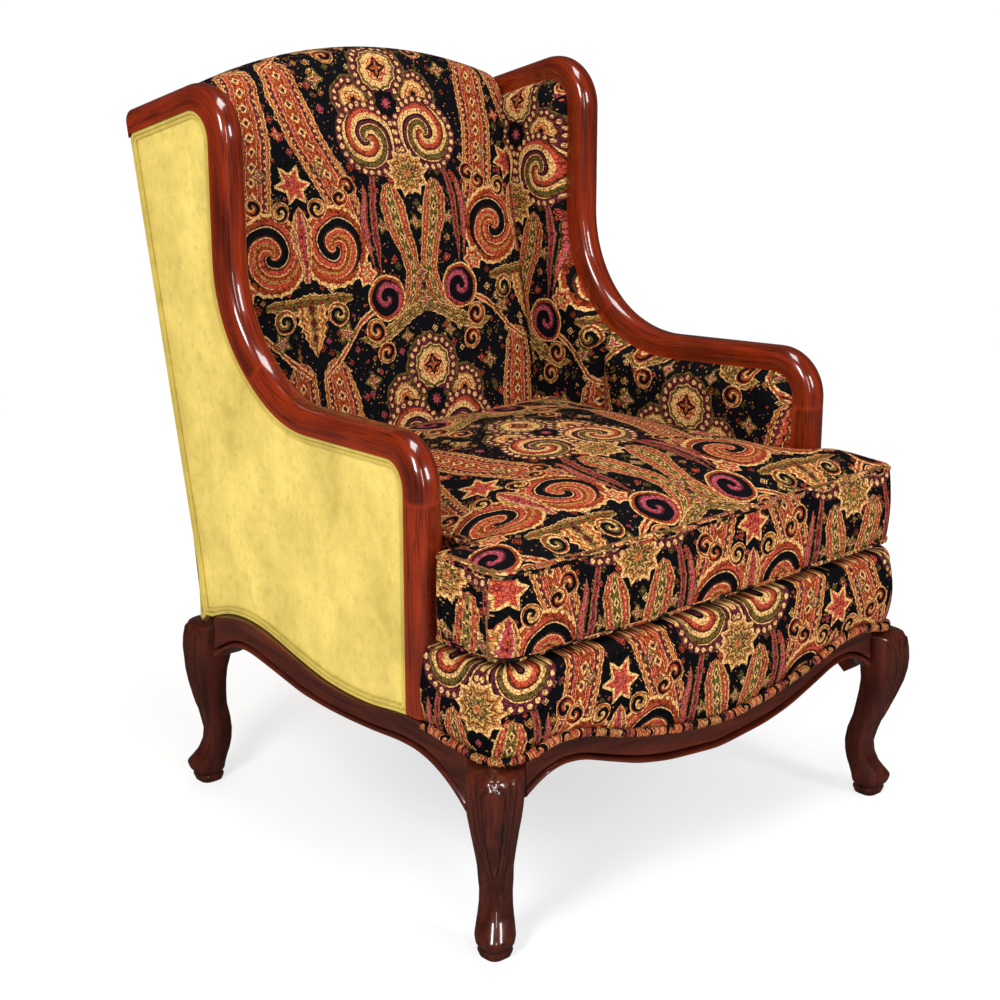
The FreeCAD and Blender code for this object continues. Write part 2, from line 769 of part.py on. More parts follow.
def side_welt(neighbours, trim_high):
    """Double welt round the left outside panel, in front of its edge."""
    name = "side_welt"
    turn = 1
    inner = panel_at + size("panel_thick")
    outer = inner + size("welt_thick")
    band = both_slabs(name, turn, inner, outer, dim(0), panel_low)
    field = both_slabs(name + "_field", turn, inner - 5, outer + 5, size("welt_width"), panel_low)
    hole = cut(name + "_opening", field, [trim_high])
    return cut(name, cut(name + "_trimmed", band, neighbours), [hole])


def side_pad(kind, side, turn, neighbours):
    name = "inside_%s_pad_%s" % (kind, side)
    inner = -size("side_pad")
    outer = -size("post_thick") / 2
    blank = side_slab(name, turn, kind == "wing", inner, outer, dim(0), rail_top + webbing,
                      easing=size("pad_edge"))
    return cut(name, blank, neighbours)


# Inside back: one big pad that swells in the middle and rolls over the crest rail. Its sections
# stand across the chair, drawn in the leaned plane of the back.

def back_pad(neighbours):
    body = new_body("inside_back_pad")
    half = wing_half + panel_at - size("post_width") - 0.5
    rear = -size("back_frame") - webbing
    foot = rail_top + 20
    sections = []
    for number, share in enumerate((-1, -0.95, -0.8, -0.55, -0.28, 0, 0.28, 0.55, 0.8, 0.95, 1)):
        x = half * share
        tuck = dim(16) if abs(share) == 1 else dim(5) if abs(share) == 0.95 else dim(0)
        swell = size("back_crown") * (1 - share ** 4) + 1
        seat_face = rear - size("back_pad") + tuck
        face = seat_face - swell
        top = crest_at(x) - tuck
        shelf = crest_at(x) - size("crest_pad")
        drawing = sketch(body, "YZ_Plane", "back_section_%d" % (number + 1), offset=x)
        outline(drawing, [
            (rear, foot, None), (rear, shelf, None), (-size("panel_thick"), shelf, None),
            (-size("panel_thick"), top - 2, None), (-size("panel_thick") - 12, top + 1, None),
            (face + 8, top + 3, 30), (face, 640, 300), (seat_face, 440, 120), (seat_face, foot, None)])
        sections.append(drawing)
    loft(body, sections, "back_pad_form", ruled=True)
    place_raked(body)
    return cut("inside_back_pad", body, neighbours)


def back_panel_heel():
    """The lower end of the outside back, upright over the rear rail."""
    body = new_body("back_panel_heel")
    shape = sketch(body, "YZ_Plane", "back_panel_heel_outline")
    face = back_y(rail_top)
    lap = rail_top + 10
    sheet_run = size("panel_thick") / cos(rake)
    outline(shape, [
        (rail_rear, panel_low, None), (face, panel_low, None), (face, rail_top, None),
        (back_y(lap), lap, None), (back_y(lap) - sheet_run, lap, None),
        (face - sheet_run, rail_top, None), (rail_rear, rail_top, None)])
    pad(body, shape, "back_panel_heel_sheet", (wing_half + panel_at) * 2, both_ways=True)
    return body


def outside_back_panel(neighbours):
    half = wing_half + panel_at
    low = rail_top / cos(rake)
    top = crest_arch(half, size("crest_pad") - 8)
    leaned = back_board("back_panel_sheet", half, low, top, -size("panel_thick"), dim(0))
    whole = doc.addObject("Part::Fuse", "back_panel_whole")
    whole.Base = leaned
    whole.Tool = back_panel_heel()
    return cut("outside_back_panel", whole, neighbours)


def back_welt():
    """Double welt down both sides of the outside back and over its top."""
    body = new_body("back_welt")
    band = size("welt_width")
    drawing = sketch(body, "XZ_Plane", "back_welt_outline")
    half = wing_half + panel_at + size("panel_thick")
    low = rail_top / cos(rake)
    under = size("crest_pad") - 8
    inner = crest_arch(half - band, under + band)
    outer = crest_arch(half, under)
    outline(drawing, [(half - band, low, None)] + inner + [(band - half, low, None), (-half, low, None)]
            + outer[::-1] + [(half, low, None)])
    feature = pad(body, drawing, "back_welt_band", size("welt_thick"))
    feature.Reversed = True
    return place_raked(body)


# Sprung deck under the cushion: webbing straps on the rails, and a firm pad on them.

def strap_group(name, count, spread, along, level, length):
    """Straps side by side; along says whether they run front to back."""
    straps = []
    for number in range(count):
        strap = doc.addObject("Part::Box", "%s_%d" % (name, number + 1))
        across = spread * (number / (count - 1) - 0.5)
        wide = size("webbing_width")
        if along:
            bind(strap, "Length", wide)
            bind(strap, "Width", length[1] - length[0])
            place(strap, x=across - wide / 2, y=length[0], z=level)
        else:
            bind(strap, "Width", wide)
            bind(strap, "Length", length[1] - length[0])
            place(strap, x=length[0], y=across - 60 - wide / 2, z=level)
        bind(strap, "Height", size("webbing_thick"))
        straps.append(strap)
    group = doc.addObject("Part::Compound", name)
    group.Links = straps
    group.Label = name
    return group


def seat_outline(inset):
    """Inside of the seat rails, or of the upholstery on them, as a tapered plan."""
    front = rail_front_inside
    rear = rail_rear_inside
    side = size("side_rail_front") - size("rail_thick") / cos(size("side_rail_splay"))
    taper = tan(size("side_rail_splay"))
    start = size("side_rail_start")
    half_front = side - taper * (front - start) - inset
    half_rear = side - taper * (rear - start) - inset
    return [(-half_front, front + inset, None), (half_front, front + inset, None),
            (half_rear, rear - inset, None), (-half_rear, rear - inset, None)]


def dust_cover(neighbours):
    body = new_body("dust_cover")
    plan = sketch(body, "XY_Plane", "dust_cover_plan", offset=dim(270))
    outline(plan, seat_outline(dim(0)))
    pad(body, plan, "dust_cover_sheet", 1.5)
    return cut("dust_cover", body, neighbours)


def corner_blocks(neighbours):
    """Glued blocks behind the legs, fitted to rails and legs."""
    blocks = []
    plan_corners = seat_outline(dim(0))
    for number, (x, y, bend) in enumerate(plan_corners):
        x_in = -1 if x.value > 0 else 1
        y_in = 1 if y.value < 0 else -1
        body = new_body("corner_block_%d" % (number + 1))
        plan = sketch(body, "XY_Plane", "corner_block_plan_%d" % (number + 1), offset=rail_top - 60)
        leg = 105
        outline(plan, [(x, y, None), (x + leg * x_in, y, None), (x, y + leg * y_in, None)])
        pad(body, plan, "corner_block_board_%d" % (number + 1), 45)
        blocks.append(body)
    group = doc.addObject("Part::Compound", "corner_block_set")
    group.Links = blocks
    return cut("corner_blocks", group, neighbours)


def deck_pad(neighbours):
    body = new_body("seat_deck")
    plan = sketch(body, "XY_Plane", "seat_deck_plan", offset=rail_top + webbing)
    half = wing_half - size("side_pad") + 10
    rear = back_y(350) - size("back_frame") / cos(rake)
    outline(plan, [(-half - 45, rail_front_inside, None), (half + 45, rail_front_inside, None),
                   (half, rear, None), (-half, rear, None)])
    pad(body, plan, "seat_deck_pad", size("deck_top") - rail_top - webbing)
    return cut("seat_deck", body, neighbours)


# Upholstered border: a padded roll round the front of the seat from stump to stump.

def border_plan(out, corner):
    front = size("border_front") - out
    side = size("border_side") + out
    rear = stump_line
    inner = rail_front_inside
    return [(-side, rear, None), (-side, front, corner), (0, front - size("border_bow"), 2600),
            (side, front, corner), (side, rear, None), (side - 44, rear, None),
            (side - 44, inner, None), (-side + 44, inner, None), (-side + 44, rear, None)]


def front_border(neighbours):
    body = new_body("front_border")
    low = panel_low
    plan = sketch(body, "XY_Plane", "front_border_plan", offset=low)
    outline(plan, border_plan(dim(0), size("border_corner")))
    top = size("deck_top")
    pad(body, plan, "front_border_roll", top - low)

    def outer_top(edge):
        box = edge.BoundBox
        outside = box.YMin < size("border_front").value + 70 or abs(box.Center.x) > 340
        return box.ZMin > top.value - 1 and outside and box.YMax < stump_line.value - 2 or (
            box.ZMin > top.value - 1 and abs(abs(box.Center.x) - size("border_side").value) < 1)

    ease_edges(body, "front_border_top", 20, outer_top, kind="Fillet")
    return cut("front_border", body, neighbours)


# Loose seat cushion: a T, its ears in front of the stumps.

def cushion_plan(inset, crown):
    """The T from above. crown draws the outline in towards its middle, from 0 to 1."""
    gap = size("cushion_gap")
    inset = inset + size("piping_radius")
    keep = 1 - crown
    middle = dim(-94)
    pad_front = size("back_frame") + webbing + size("back_pad")
    face = wing_half - size("side_pad") - gap - inset
    rear = back_y(size("cushion_bottom")) - pad_front / cos(rake) - gap - 3 - inset
    front = size("cushion_front") + inset
    nose = front - size("cushion_bow")

    def drawn_in(y):
        return middle + (y - middle) * keep

    neck_x = (face + tan(splay) * (joint_line - stump_line)) * keep
    neck_y = stump_line - gap - 2 - inset - crown * 30
    ear_x = (size("cushion_ear") - inset) * keep
    right = [(0, drawn_in(nose), None), (ear_x * 0.5, drawn_in(front) - size("cushion_bow") * 0.75, None)]
    right += eased_corner(ear_x, drawn_in(front), dim(20) * keep, 1, -1, True)
    right += eased_corner(ear_x, neck_y, dim(12) * keep, 1, 1, False)
    right += [(neck_x, neck_y, None), (face * keep, drawn_in(joint_line), None)]
    right += eased_corner(face * keep, drawn_in(rear), dim(24) * keep, 1, 1, False)
    return right + [(-x, y, bend) for x, y, bend in reversed(right[1:])]


def cushion_form(name, levels):
    """levels are (height, drawn in all round, drawn in towards the middle)."""
    return stacked_form(name, [(height, cushion_plan(dim(inset), crown)) for height, inset, crown in levels])


def seat_cushion():
    """Foam core and the cover round it."""
    bottom = size("cushion_bottom")
    low_seam = bottom + 10
    high_seam = bottom + size("cushion_boxing")
    crown = size("cushion_crown")
    pinch = size("cushion_pinch")
    middle = (low_seam + high_seam) / 2
    skin = 4
    outer = cushion_form("cushion_outside", [
        (bottom, 12, 0), (low_seam, 0, 0), (middle - 25, pinch, 0), (middle + 25, pinch, 0),
        (high_seam, 0, 0), (high_seam + crown * 0.36, 0, 0.035), (high_seam + crown * 0.66, 0, 0.1),
        (high_seam + crown * 0.88, 0, 0.18), (high_seam + crown, 0, 0.29)])
    core = cushion_form("cushion_core", [
        (bottom + skin, pinch + 12, 0), (low_seam + skin, pinch + skin, 0), (high_seam - skin, pinch + skin, 0),
        (high_seam + crown * 0.36, skin, 0.06), (high_seam + crown - skin, skin, 0.27)])
    core.Label = "cushion_core"
    return [core, cut("cushion_cover", outer, [core])]


# Assembly

feet = [
    ("front_left", size("toe_front_half"), size("toe_front_line"), 1, -1, 0),
    ("front_right", -size("toe_front_half"), size("toe_front_line"), -1, -1, -90),
    ("rear_left", size("toe_rear_half"), size("toe_rear_line"), 1, 1, 90),
    ("rear_right", -size("toe_rear_half"), size("toe_rear_line"), -1, 1, 180),
]
legs = []
for name, toe_x, toe_y, out_x, out_y, turn in feet:
    at_front = out_y < 0
    knee_reach = size("knee_reach_front") if at_front else size("knee_reach_rear")
    block_set = block_set_front if at_front else block_set_rear
    legs.append(cabriole_leg("leg_" + name, toe_x, toe_y, knee_reach, block_set, turn))

rails = [front_rail(legs), rear_rail(legs)] + [side_rail(side, turn, legs) for side, turn in SIDES]
blocks = corner_blocks(legs + rails)
cover_below = dust_cover(legs + rails)
pieces = legs + rails + [blocks, cover_below]

wing_rails = [wing_rail(side, turn) for side, turn in SIDES]
arm_rails = [arm_rail(side, turn) for side, turn in SIDES]
stumps = []
for (side, turn), rail in zip(SIDES, rails[2:]):
    stumps.append(cut("arm_stump_" + side, stump(side, turn), [rail]))
pieces += wing_rails + arm_rails + stumps

crest = crest_rail()
lower = back_lower_rail()
posts = [back_post(side, turn, [rails[1]] + legs + wing_rails) for side, turn in SIDES]
side_posts = [side_post(side, turn, wing_rails) for side, turn in SIDES]
tack_rails = [tack_rail(side, turn, side_posts) for side, turn in SIDES]
pieces += [crest, lower] + posts + side_posts + tack_rails

back_sheet = outside_back_panel(wing_rails)
welt_behind = back_welt()
trim = side_trim("side_trim", size("panel_clear"))
trim_high = side_trim("side_trim_high", size("welt_width"))
show_wood = rails + wing_rails + arm_rails + stumps
sheets = [outside_panel(side, turn, [trim] + arm_rails) for side, turn in SIDES]
welts = handed("side_welt", side_welt([trim, arm_rails[0]], trim_high))
pieces += [back_sheet, welt_behind] + sheets + welts

half_rails = size("side_rail_front") - size("rail_thick") - 32
straps_long = strap_group("webbing_long", 5, dim(400), True, rail_top,
                          (rail_front + 6, rail_rear - 6))
straps_cross = strap_group("webbing_cross", 6, dim(470), False, rail_top + size("webbing_thick"),
                           (-half_rails, half_rails))
pieces += [straps_long, straps_cross]

arm_pads = [side_pad("arm", side, turn, show_wood) for side, turn in SIDES]
hidden_wood = [crest, lower] + posts + tack_rails
wing_pads = [side_pad("wing", side, turn, [back_sheet] + hidden_wood + show_wood) for side, turn in SIDES]
inside_back = back_pad(wing_pads + wing_rails + [crest])
apron_top = front_trim("front_trim")
border = front_border([apron_top, trim, straps_long] + legs + show_wood)
deck = deck_pad([border, inside_back] + arm_pads + wing_pads)
pieces += arm_pads + wing_pads + [inside_back, border, deck]

pieces += seat_cushion()

doc.recompute()
for item in doc.Objects:
    if "Invalid" in item.State or "Error" in item.State:
        raise RuntimeError("%s does not build: %s" % (item.Name, item.State))
for piece in pieces:
    if piece.Shape.isNull() or not piece.Shape.isValid() or not piece.Shape.Solids:
        raise RuntimeError(piece.Label + " has no valid solid")
for piece in pieces:
    piece.Shape.exportStep(os.path.join("parts", piece.Label + ".step"))
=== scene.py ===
import math

import bmesh
import bpy
import numpy as np
from mathutils import Matrix, Vector
from mathutils.bvhtree import BVHTree
from mathutils.geometry import delaunay_2d_cdt


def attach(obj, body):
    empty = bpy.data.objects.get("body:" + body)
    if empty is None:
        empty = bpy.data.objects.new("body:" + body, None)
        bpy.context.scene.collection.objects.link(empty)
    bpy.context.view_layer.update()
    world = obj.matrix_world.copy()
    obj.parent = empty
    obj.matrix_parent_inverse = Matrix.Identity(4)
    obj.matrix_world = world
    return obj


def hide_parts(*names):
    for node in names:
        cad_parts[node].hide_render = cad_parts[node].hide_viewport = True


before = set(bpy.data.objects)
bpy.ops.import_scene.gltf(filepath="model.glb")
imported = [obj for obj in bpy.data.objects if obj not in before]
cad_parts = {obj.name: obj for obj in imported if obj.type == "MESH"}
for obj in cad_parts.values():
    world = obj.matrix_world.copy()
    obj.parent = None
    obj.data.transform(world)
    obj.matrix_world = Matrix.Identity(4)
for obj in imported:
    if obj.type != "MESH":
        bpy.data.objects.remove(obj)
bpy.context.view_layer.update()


# Leading lines of the chair
# Every outline below is set out from these. Metres; the front faces -Y and Z is up.
WING = 0.320  # middle of a wing, from the chair's middle
SPLAY = math.radians(4.9)  # the arms open forward
RAKE = math.radians(11.7)  # the back leans
JOINT = 0.107  # where wing and arm meet
STUMP = -0.264  # front of the arms
WING_FRONT = 0.167
WING_TOP = 1.024
ARM_REAR = 0.601  # height of the arm line under the wing's front
ARM_FRONT = 0.628  # and where it turns down the stump
BACK = 0.208  # outside face of the back, run down to the floor
DEPTH = 0.034  # the moulding, from its nose inward
TOP_SLOPE = math.tan(math.radians(16.7))
RAIL_TOP = 0.335


def back_y(z):
    return BACK + math.tan(RAKE) * z


def run_along(line):
    """Distance along a line at each of its points."""
    return np.concatenate([[0], np.cumsum(np.linalg.norm(np.diff(line, axis=0), axis=1))])


def headings(line):
    """Unit direction of a line at each of its points."""
    ahead = np.gradient(line, axis=0)
    return ahead / np.linalg.norm(ahead, axis=1)[:, None]


def even(line, gap):
    """Points a steady distance apart along a line."""
    line = np.asarray(line, float)
    run = run_along(line)
    at = np.linspace(0, run[-1], max(2, int(round(run[-1] / gap)) + 1))
    return np.stack([np.interp(at, run, line[:, k]) for k in range(line.shape[1])], axis=1)


def rounded(corners, gap=0.004):
    """Straight runs from corner to corner (a, b, rounding), each rounding a tangent arc."""
    spots = [np.array(corner[:2], float) for corner in corners]
    line = [spots[0]]
    for i in range(1, len(corners) - 1):
        bend = corners[i][2]
        if not bend:
            line.append(spots[i])
            continue
        back = (spots[i - 1] - spots[i]) / np.linalg.norm(spots[i - 1] - spots[i])
        ahead = (spots[i + 1] - spots[i]) / np.linalg.norm(spots[i + 1] - spots[i])
        half = math.acos(np.clip(back @ ahead, -1, 1)) / 2
        centre = spots[i] + (back + ahead) / np.linalg.norm(back + ahead) * bend / math.sin(half)
        first = spots[i] + back * bend / math.tan(half) - centre
        last = spots[i] + ahead * bend / math.tan(half) - centre
        turn = math.pi - 2 * half
        for t in np.linspace(0, 1, max(3, int(turn / 0.06))):
            line.append(centre + (math.sin((1 - t) * turn) * first + math.sin(t * turn) * last) / math.sin(turn))
    line.append(spots[-1])
    return even(line, gap)


def side_line(under, gap=0.004, foot=0.25):
    """Round the side of the chair at a depth under the moulding's nose, from the back along the
    wing's top, down its front, round the hollow and along the arm to the foot of the stump."""
    rear = 0.42
    drop = under / math.cos(math.atan(TOP_SLOPE))
    fall = 0.0626
    return rounded([
        (rear, WING_TOP - TOP_SLOPE * (rear - WING_FRONT) - drop, 0),
        (WING_FRONT + under, WING_TOP - TOP_SLOPE * under - drop, 0.072 - under),
        (WING_FRONT + under, ARM_REAR - under - fall * under, 0.165 + under),
        (STUMP + under, ARM_FRONT - under - fall * under, max(0.067 - under, 0.022)),
        (STUMP + under, foot, 0)], gap)


def on_side(y, z, out):
    """Places on the left side, out from the middle of the wing or arm, which open at the joint."""
    y = np.asarray(y, float)
    z = np.asarray(z, float)
    ahead = 0.012 * np.log1p(np.exp(np.clip((JOINT - y) / 0.012, -50, 50)))
    opened = 1 / (1 + np.exp(np.clip((y - JOINT) / 0.012, -50, 50)))
    x = WING + math.tan(SPLAY) * ahead + out
    return np.stack([x + y * 0, y + math.sin(SPLAY) * out * opened, z + y * 0], axis=-1)


def lay(piece, name, values):
    """Keeps a coordinate on the mesh, for its material."""
    held = piece.data.attributes.new(name, "FLOAT_VECTOR", "POINT")
    held.data.foreach_set("vector", np.asarray(values, np.float32).ravel())


def solid(name, points, faces):
    mesh = bpy.data.meshes.new(name)
    mesh.from_pydata([tuple(map(float, p)) for p in points], [], [tuple(map(int, f)) for f in faces])
    mesh.update()
    piece = bpy.data.objects.new(name, mesh)
    bpy.context.scene.collection.objects.link(piece)
    shaped = bmesh.new()
    shaped.from_mesh(mesh)
    bmesh.ops.recalc_face_normals(shaped, faces=shaped.faces)
    shaped.to_mesh(mesh)
    shaped.free()
    mesh.polygons.foreach_set("use_smooth", [True] * len(mesh.polygons))
    return piece


def skin(name, rings, closed=True, looped=False):
    """A surface through rows of points, closed across each row, along them, or both."""
    rings = np.asarray(rings, float)
    rows, cols = rings.shape[:2]
    faces = []
    for i in range(rows if looped else rows - 1):
        for j in range(cols if closed else cols - 1):
            k, m = (i + 1) % rows, (j + 1) % cols
            faces.append((i * cols + j, i * cols + m, k * cols + m, k * cols + j))
    if closed and not looped:
        faces.append(tuple(range(cols)))
        faces.append(tuple((rows - 1) * cols + j for j in range(cols)))
    return solid(name, rings.reshape(-1, 3), faces)


def mirrored(piece, name):
    """The same piece on the chair's other side."""
    mesh = piece.data.copy()
    mesh.name = name
    mesh.transform(Matrix.Diagonal((-1, 1, 1, 1)))
    mesh.flip_normals()
    other = bpy.data.objects.new(name, mesh)
    bpy.context.scene.collection.objects.link(other)
    return other


def crease(piece, angle=35):
    """Sharp edges stay sharp while the faces between them are smooth."""
    bpy.context.view_layer.objects.active = piece
    for item in bpy.context.selected_objects:
        item.select_set(False)
    piece.select_set(True)
    bpy.ops.object.shade_smooth_by_angle(angle=math.radians(angle))
    piece.select_set(False)


def seat_piece(piece, material, slot, *nodes, body="chair_frame"):
    """Gives a piece its finish and its place in the chair."""
    piece.data.materials.clear()
    piece.data.materials.append(material)
    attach(piece, body)
    if nodes:
        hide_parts(*nodes)
    return piece


class Recipe:
    """A material's nodes; each call adds one node and returns its output."""

    def __init__(self, name):
        self.material = bpy.data.materials.new(name)
        self.material.use_nodes = True
        self.tree = self.material.node_tree
        self.shader = self.tree.nodes["Principled BSDF"]

    def node(self, kind, output=0, sockets=(), **settings):
        made = self.tree.nodes.new(kind)
        for key, value in settings.items():
            setattr(made, key, value)
        for key, value in dict(sockets).items():
            self.put(made.inputs[key], value)
        return made.outputs[output]

    def put(self, socket, value):
        if isinstance(value, Value):
            value = value.socket
        if isinstance(value, bpy.types.NodeSocket):
            self.tree.links.new(value, socket)
        else:
            socket.default_value = value

    def math(self, operation, *values):
        made = self.tree.nodes.new("ShaderNodeMath")
        made.operation = operation
        for i, value in enumerate(values):
            self.put(made.inputs[i], value)
        return Value(self, made.outputs[0])

    def kept(self, name, x=1, y=1, z=1):
        """A coordinate kept on the mesh, scaled along each axis."""
        found = self.node("ShaderNodeAttribute", "Vector", attribute_name=name)
        return self.node("ShaderNodeVectorMath", sockets={0: found, 1: (x, y, z)}, operation="MULTIPLY")

    def place(self, x=1, y=1, z=1):
        """Where the surface is on the chair, scaled along each axis."""
        found = self.node("ShaderNodeTexCoord", "Object")
        return self.node("ShaderNodeVectorMath", sockets={0: found, 1: (x, y, z)}, operation="MULTIPLY")

    def noise(self, where, scale, detail=3, rough=0.5, warp=0):
        return Value(self, self.node("ShaderNodeTexNoise", sockets={
            "Vector": where, "Scale": scale, "Detail": detail, "Roughness": rough, "Distortion": warp}))

    def ramp(self, value, stops, steps=False):
        made = self.tree.nodes.new("ShaderNodeValToRGB")
        band = made.color_ramp
        band.interpolation = "CONSTANT" if steps else "LINEAR"
        while len(band.elements) < len(stops):
            band.elements.new(0.5)
        for element, (spot, colour) in zip(band.elements, stops):
            element.position = spot
            element.color = (*colour, 1)
        self.put(made.inputs[0], value)
        return made.outputs[0]

    def mix(self, share, a, b, blend="MIX"):
        made = self.tree.nodes.new("ShaderNodeMix")
        made.data_type = "RGBA"
        made.blend_type = blend
        self.put(made.inputs[0], share)
        for socket, value in ((made.inputs[6], a), (made.inputs[7], b)):
            self.put(socket, (*value, 1) if isinstance(value, tuple) and len(value) == 3 else value)
        return made.outputs[2]

    def bump(self, height, strength, distance, under=None):
        sockets = {"Height": height, "Strength": strength, "Distance": distance}
        if under is not None:
            sockets["Normal"] = under
        return self.node("ShaderNodeBump", sockets=sockets)

    def done(self, **sockets):
        for key, value in sockets.items():
            name = key.replace("_", " ")
            self.put(self.shader.inputs[name], (*value, 1) if isinstance(value, tuple) and len(value) == 3 else value)
        return self.material


class Value:
    """A number in a material, which can be added, multiplied and so on."""

    def __init__(self, recipe, socket):
        self.recipe = recipe
        self.socket = socket

    def __add__(self, other):
        return self.recipe.math("ADD", self, other)

    def __sub__(self, other):
        return self.recipe.math("SUBTRACT", self, other)

    def __rsub__(self, other):
        return self.recipe.math("SUBTRACT", other, self)

    def __mul__(self, other):
        return self.recipe.math("MULTIPLY", self, other)

    def __truediv__(self, other):
        return self.recipe.math("DIVIDE", self, other)

    def below(self, other):
        return self.recipe.math("LESS_THAN", self, other)

    def above(self, other):
        return self.recipe.math("GREATER_THAN", self, other)


def srgb(word):
    """Linear colour from a dye card's six figures."""
    parts = [int(word[i:i + 2], 16) / 255 for i in (0, 2, 4)]
    return tuple(c / 12.92 if c <= 0.04045 else ((c + 0.055) / 1.055) ** 2.4 for c in parts)


# Mahogany of the show wood
# Deep red-brown mahogany under a rubbed lacquer. The grain runs along each member, pores and
# colour bands with it, and the colour is set darker in hollows and lighter on sharp edges.

def mahogany(name, deep, bright, gloss):
    made = Recipe(name)
    grain = made.kept("grain")
    long = made.kept("grain", 3.5, 60, 60)
    fine = made.kept("grain", 14, 420, 420)
    figure = made.noise(long, 1.0, 5, 0.6, 0.7)
    pores = made.noise(fine, 1.0, 3, 0.65)
    clouds = made.noise(grain, 9, 3, 0.55)
    colour = made.ramp(figure, [(0.28, deep), (0.5, tuple((a + b) / 2 for a, b in zip(deep, bright))), (0.74, bright)])
    pore_line = made.ramp(pores, [(0.36, (0, 0, 0)), (0.46, (1, 1, 1))])
    colour = made.mix(made.math("MULTIPLY", made.math("SUBTRACT", 1.0, pore_line), 0.55),
                      colour, tuple(c * 0.35 for c in deep))
    colour = made.mix(made.ramp(clouds, [(0.35, (0, 0, 0)), (0.7, (0.45, 0.45, 0.45))]),
                      colour, tuple(c * 0.45 for c in deep))
    # By pointiness, the colour is set darker in hollows and lighter on sharp edges.
    edge = made.node("ShaderNodeNewGeometry", "Pointiness")
    hollow = made.ramp(edge, [(0.44, (0.85, 0.85, 0.85)), (0.495, (0, 0, 0))])
    colour = made.mix(hollow, colour, tuple(c * 0.18 for c in deep))
    lighter_on_sharp_edges = made.ramp(edge, [(0.52, (0, 0, 0)), (0.6, (0.35, 0.35, 0.35))])
    colour = made.mix(lighter_on_sharp_edges, colour, tuple(min(1, c * 1.5) for c in bright))
    shine = made.math("ADD", gloss, made.math("MULTIPLY", clouds, 0.12))
    normal = made.bump(pores, 0.10, 0.0006)
    normal = made.bump(clouds, 0.12, 0.002, normal)
    return made.done(Base_Color=colour, Roughness=shine, Normal=normal, Specular_IOR_Level=0.3,
                     Coat_Weight=1.0, Coat_Roughness=0.05)


wood_bright = mahogany("mahogany_polished", srgb("210402"), srgb("8f2a08"), 0.18)
wood_dark = mahogany("mahogany_carved", srgb("1d0704"), srgb("5c2010"), 0.24)


# Moulding of wings, arms and stumps
# One round-nosed mahogany moulding on each side, in three lengths: the wing rail, the arm rail,
# and the stump that stands on the seat rail. They are glued end to end and rubbed down as one.

NOSE = [(0.020, 0.034), (0.020, 0.026)]
for angle in np.linspace(0, math.pi, 25):
    across, deep = math.cos(angle), math.sin(angle)
    NOSE.append((0.020 * math.copysign(abs(across) ** 0.84, across), 0.019 - 0.019 * abs(deep) ** 0.84))
NOSE += [(-0.020, 0.026), (-0.020, 0.034)]
NOSE = np.array(NOSE)


def moulding(name, line):
    """The section follows a stretch of the nose line."""
    ahead = headings(line)
    inward = np.stack([-ahead[:, 1], ahead[:, 0]], axis=1)
    run = run_along(line)
    rings = []
    grain = []
    for spot, inside, along in zip(line, inward, run):
        y = spot[0] + inside[0] * NOSE[:, 1]
        z = spot[1] + inside[1] * NOSE[:, 1]
        y = np.minimum(y, back_y(z) - 0.0045)
        rings.append(on_side(y, z, NOSE[:, 0]))
        grain.append(np.stack([along + 0 * y, NOSE[:, 0], NOSE[:, 1]], axis=1))
    piece = skin(name, rings)
    lay(piece, "grain", np.concatenate(grain))
    crease(piece, 40)
    return piece


nose = side_line(0, 0.004, 0.272)
at_joint = int(np.argmax((nose[:, 0] < JOINT) & (nose[:, 1] < 0.7)))
at_stump = int(np.argmax((nose[:, 0] < -0.25) & (nose[:, 1] < 0.545)))
for word, first, last, node in (("wing_moulding", 0, at_joint, "wing_rail"),
                                ("arm_moulding", at_joint, at_stump, "arm_rail"),
                                ("stump_moulding", at_stump, len(nose) - 1, "arm_stump")):
    left = moulding(word + "_left", nose[first:last + 1])
    right = mirrored(left, word + "_right")
    seat_piece(left, wood_bright, "mahogany", node + "_left")
    seat_piece(right, wood_bright, "mahogany", node + "_right")


# Seat rails with their aprons
# Mahogany rails between the legs. Each face swells into a proud serpentine apron with a bead
# along its lower edge and a groove above it, cut from the same board as the rail.

def low_front(x):
    return np.interp(abs(x), [0, 0.09, 0.14, 0.19, 0.235, 0.27, 0.30, 0.33, 0.36],
                     [0.178, 0.186, 0.196, 0.213, 0.229, 0.231, 0.220, 0.196, 0.165])


def high_front(x):
    return np.interp(abs(x), [0, 0.09, 0.14, 0.19, 0.23, 0.28, 0.31, 0.34, 0.37],
                     [0.221, 0.230, 0.240, 0.252, 0.266, 0.272, 0.266, 0.255, 0.246])


def low_side(y):
    return np.interp(y, [-0.36, -0.33, -0.304, -0.279, -0.246, -0.206, -0.155, -0.102, -0.048, 0.009, 0.065, 0.124,
                         0.155, 0.19, 0.23],
                     [0.165, 0.193, 0.209, 0.220, 0.227, 0.227, 0.222, 0.219, 0.218, 0.220, 0.229, 0.238, 0.240,
                      0.231, 0.205])


def high_side(y):
    return np.interp(y, [-0.38, -0.33, -0.29, -0.25, -0.208, -0.150, -0.096, -0.043, 0.014, 0.058, 0.106, 0.153,
                         0.189, 0.221, 0.244, 0.26],
                     [0.248, 0.258, 0.266, 0.270, 0.266, 0.256, 0.253, 0.254, 0.262, 0.270, 0.279, 0.284, 0.281,
                      0.272, 0.261, 0.252])


def smooth(values, times=10):
    """Takes the kinks out of a measured curve."""
    values = np.array(values, float)
    for _ in range(times):
        values[1:-1] = (values[:-2] + 2 * values[1:-1] + values[2:]) / 4
    return values


APRON = [(0.0, 0.55), (0.03, 0.86), (0.07, 0.99), (0.12, 1.0), (0.16, 0.9), (0.185, 0.62), (0.20, 0.5), (0.22, 0.62),
         (0.25, 0.82), (0.30, 0.9), (0.42, 0.86), (0.58, 0.80), (0.74, 0.80), (0.86, 0.86), (0.93, 0.84), (0.98, 0.6),
         (1.0, 0.3)]


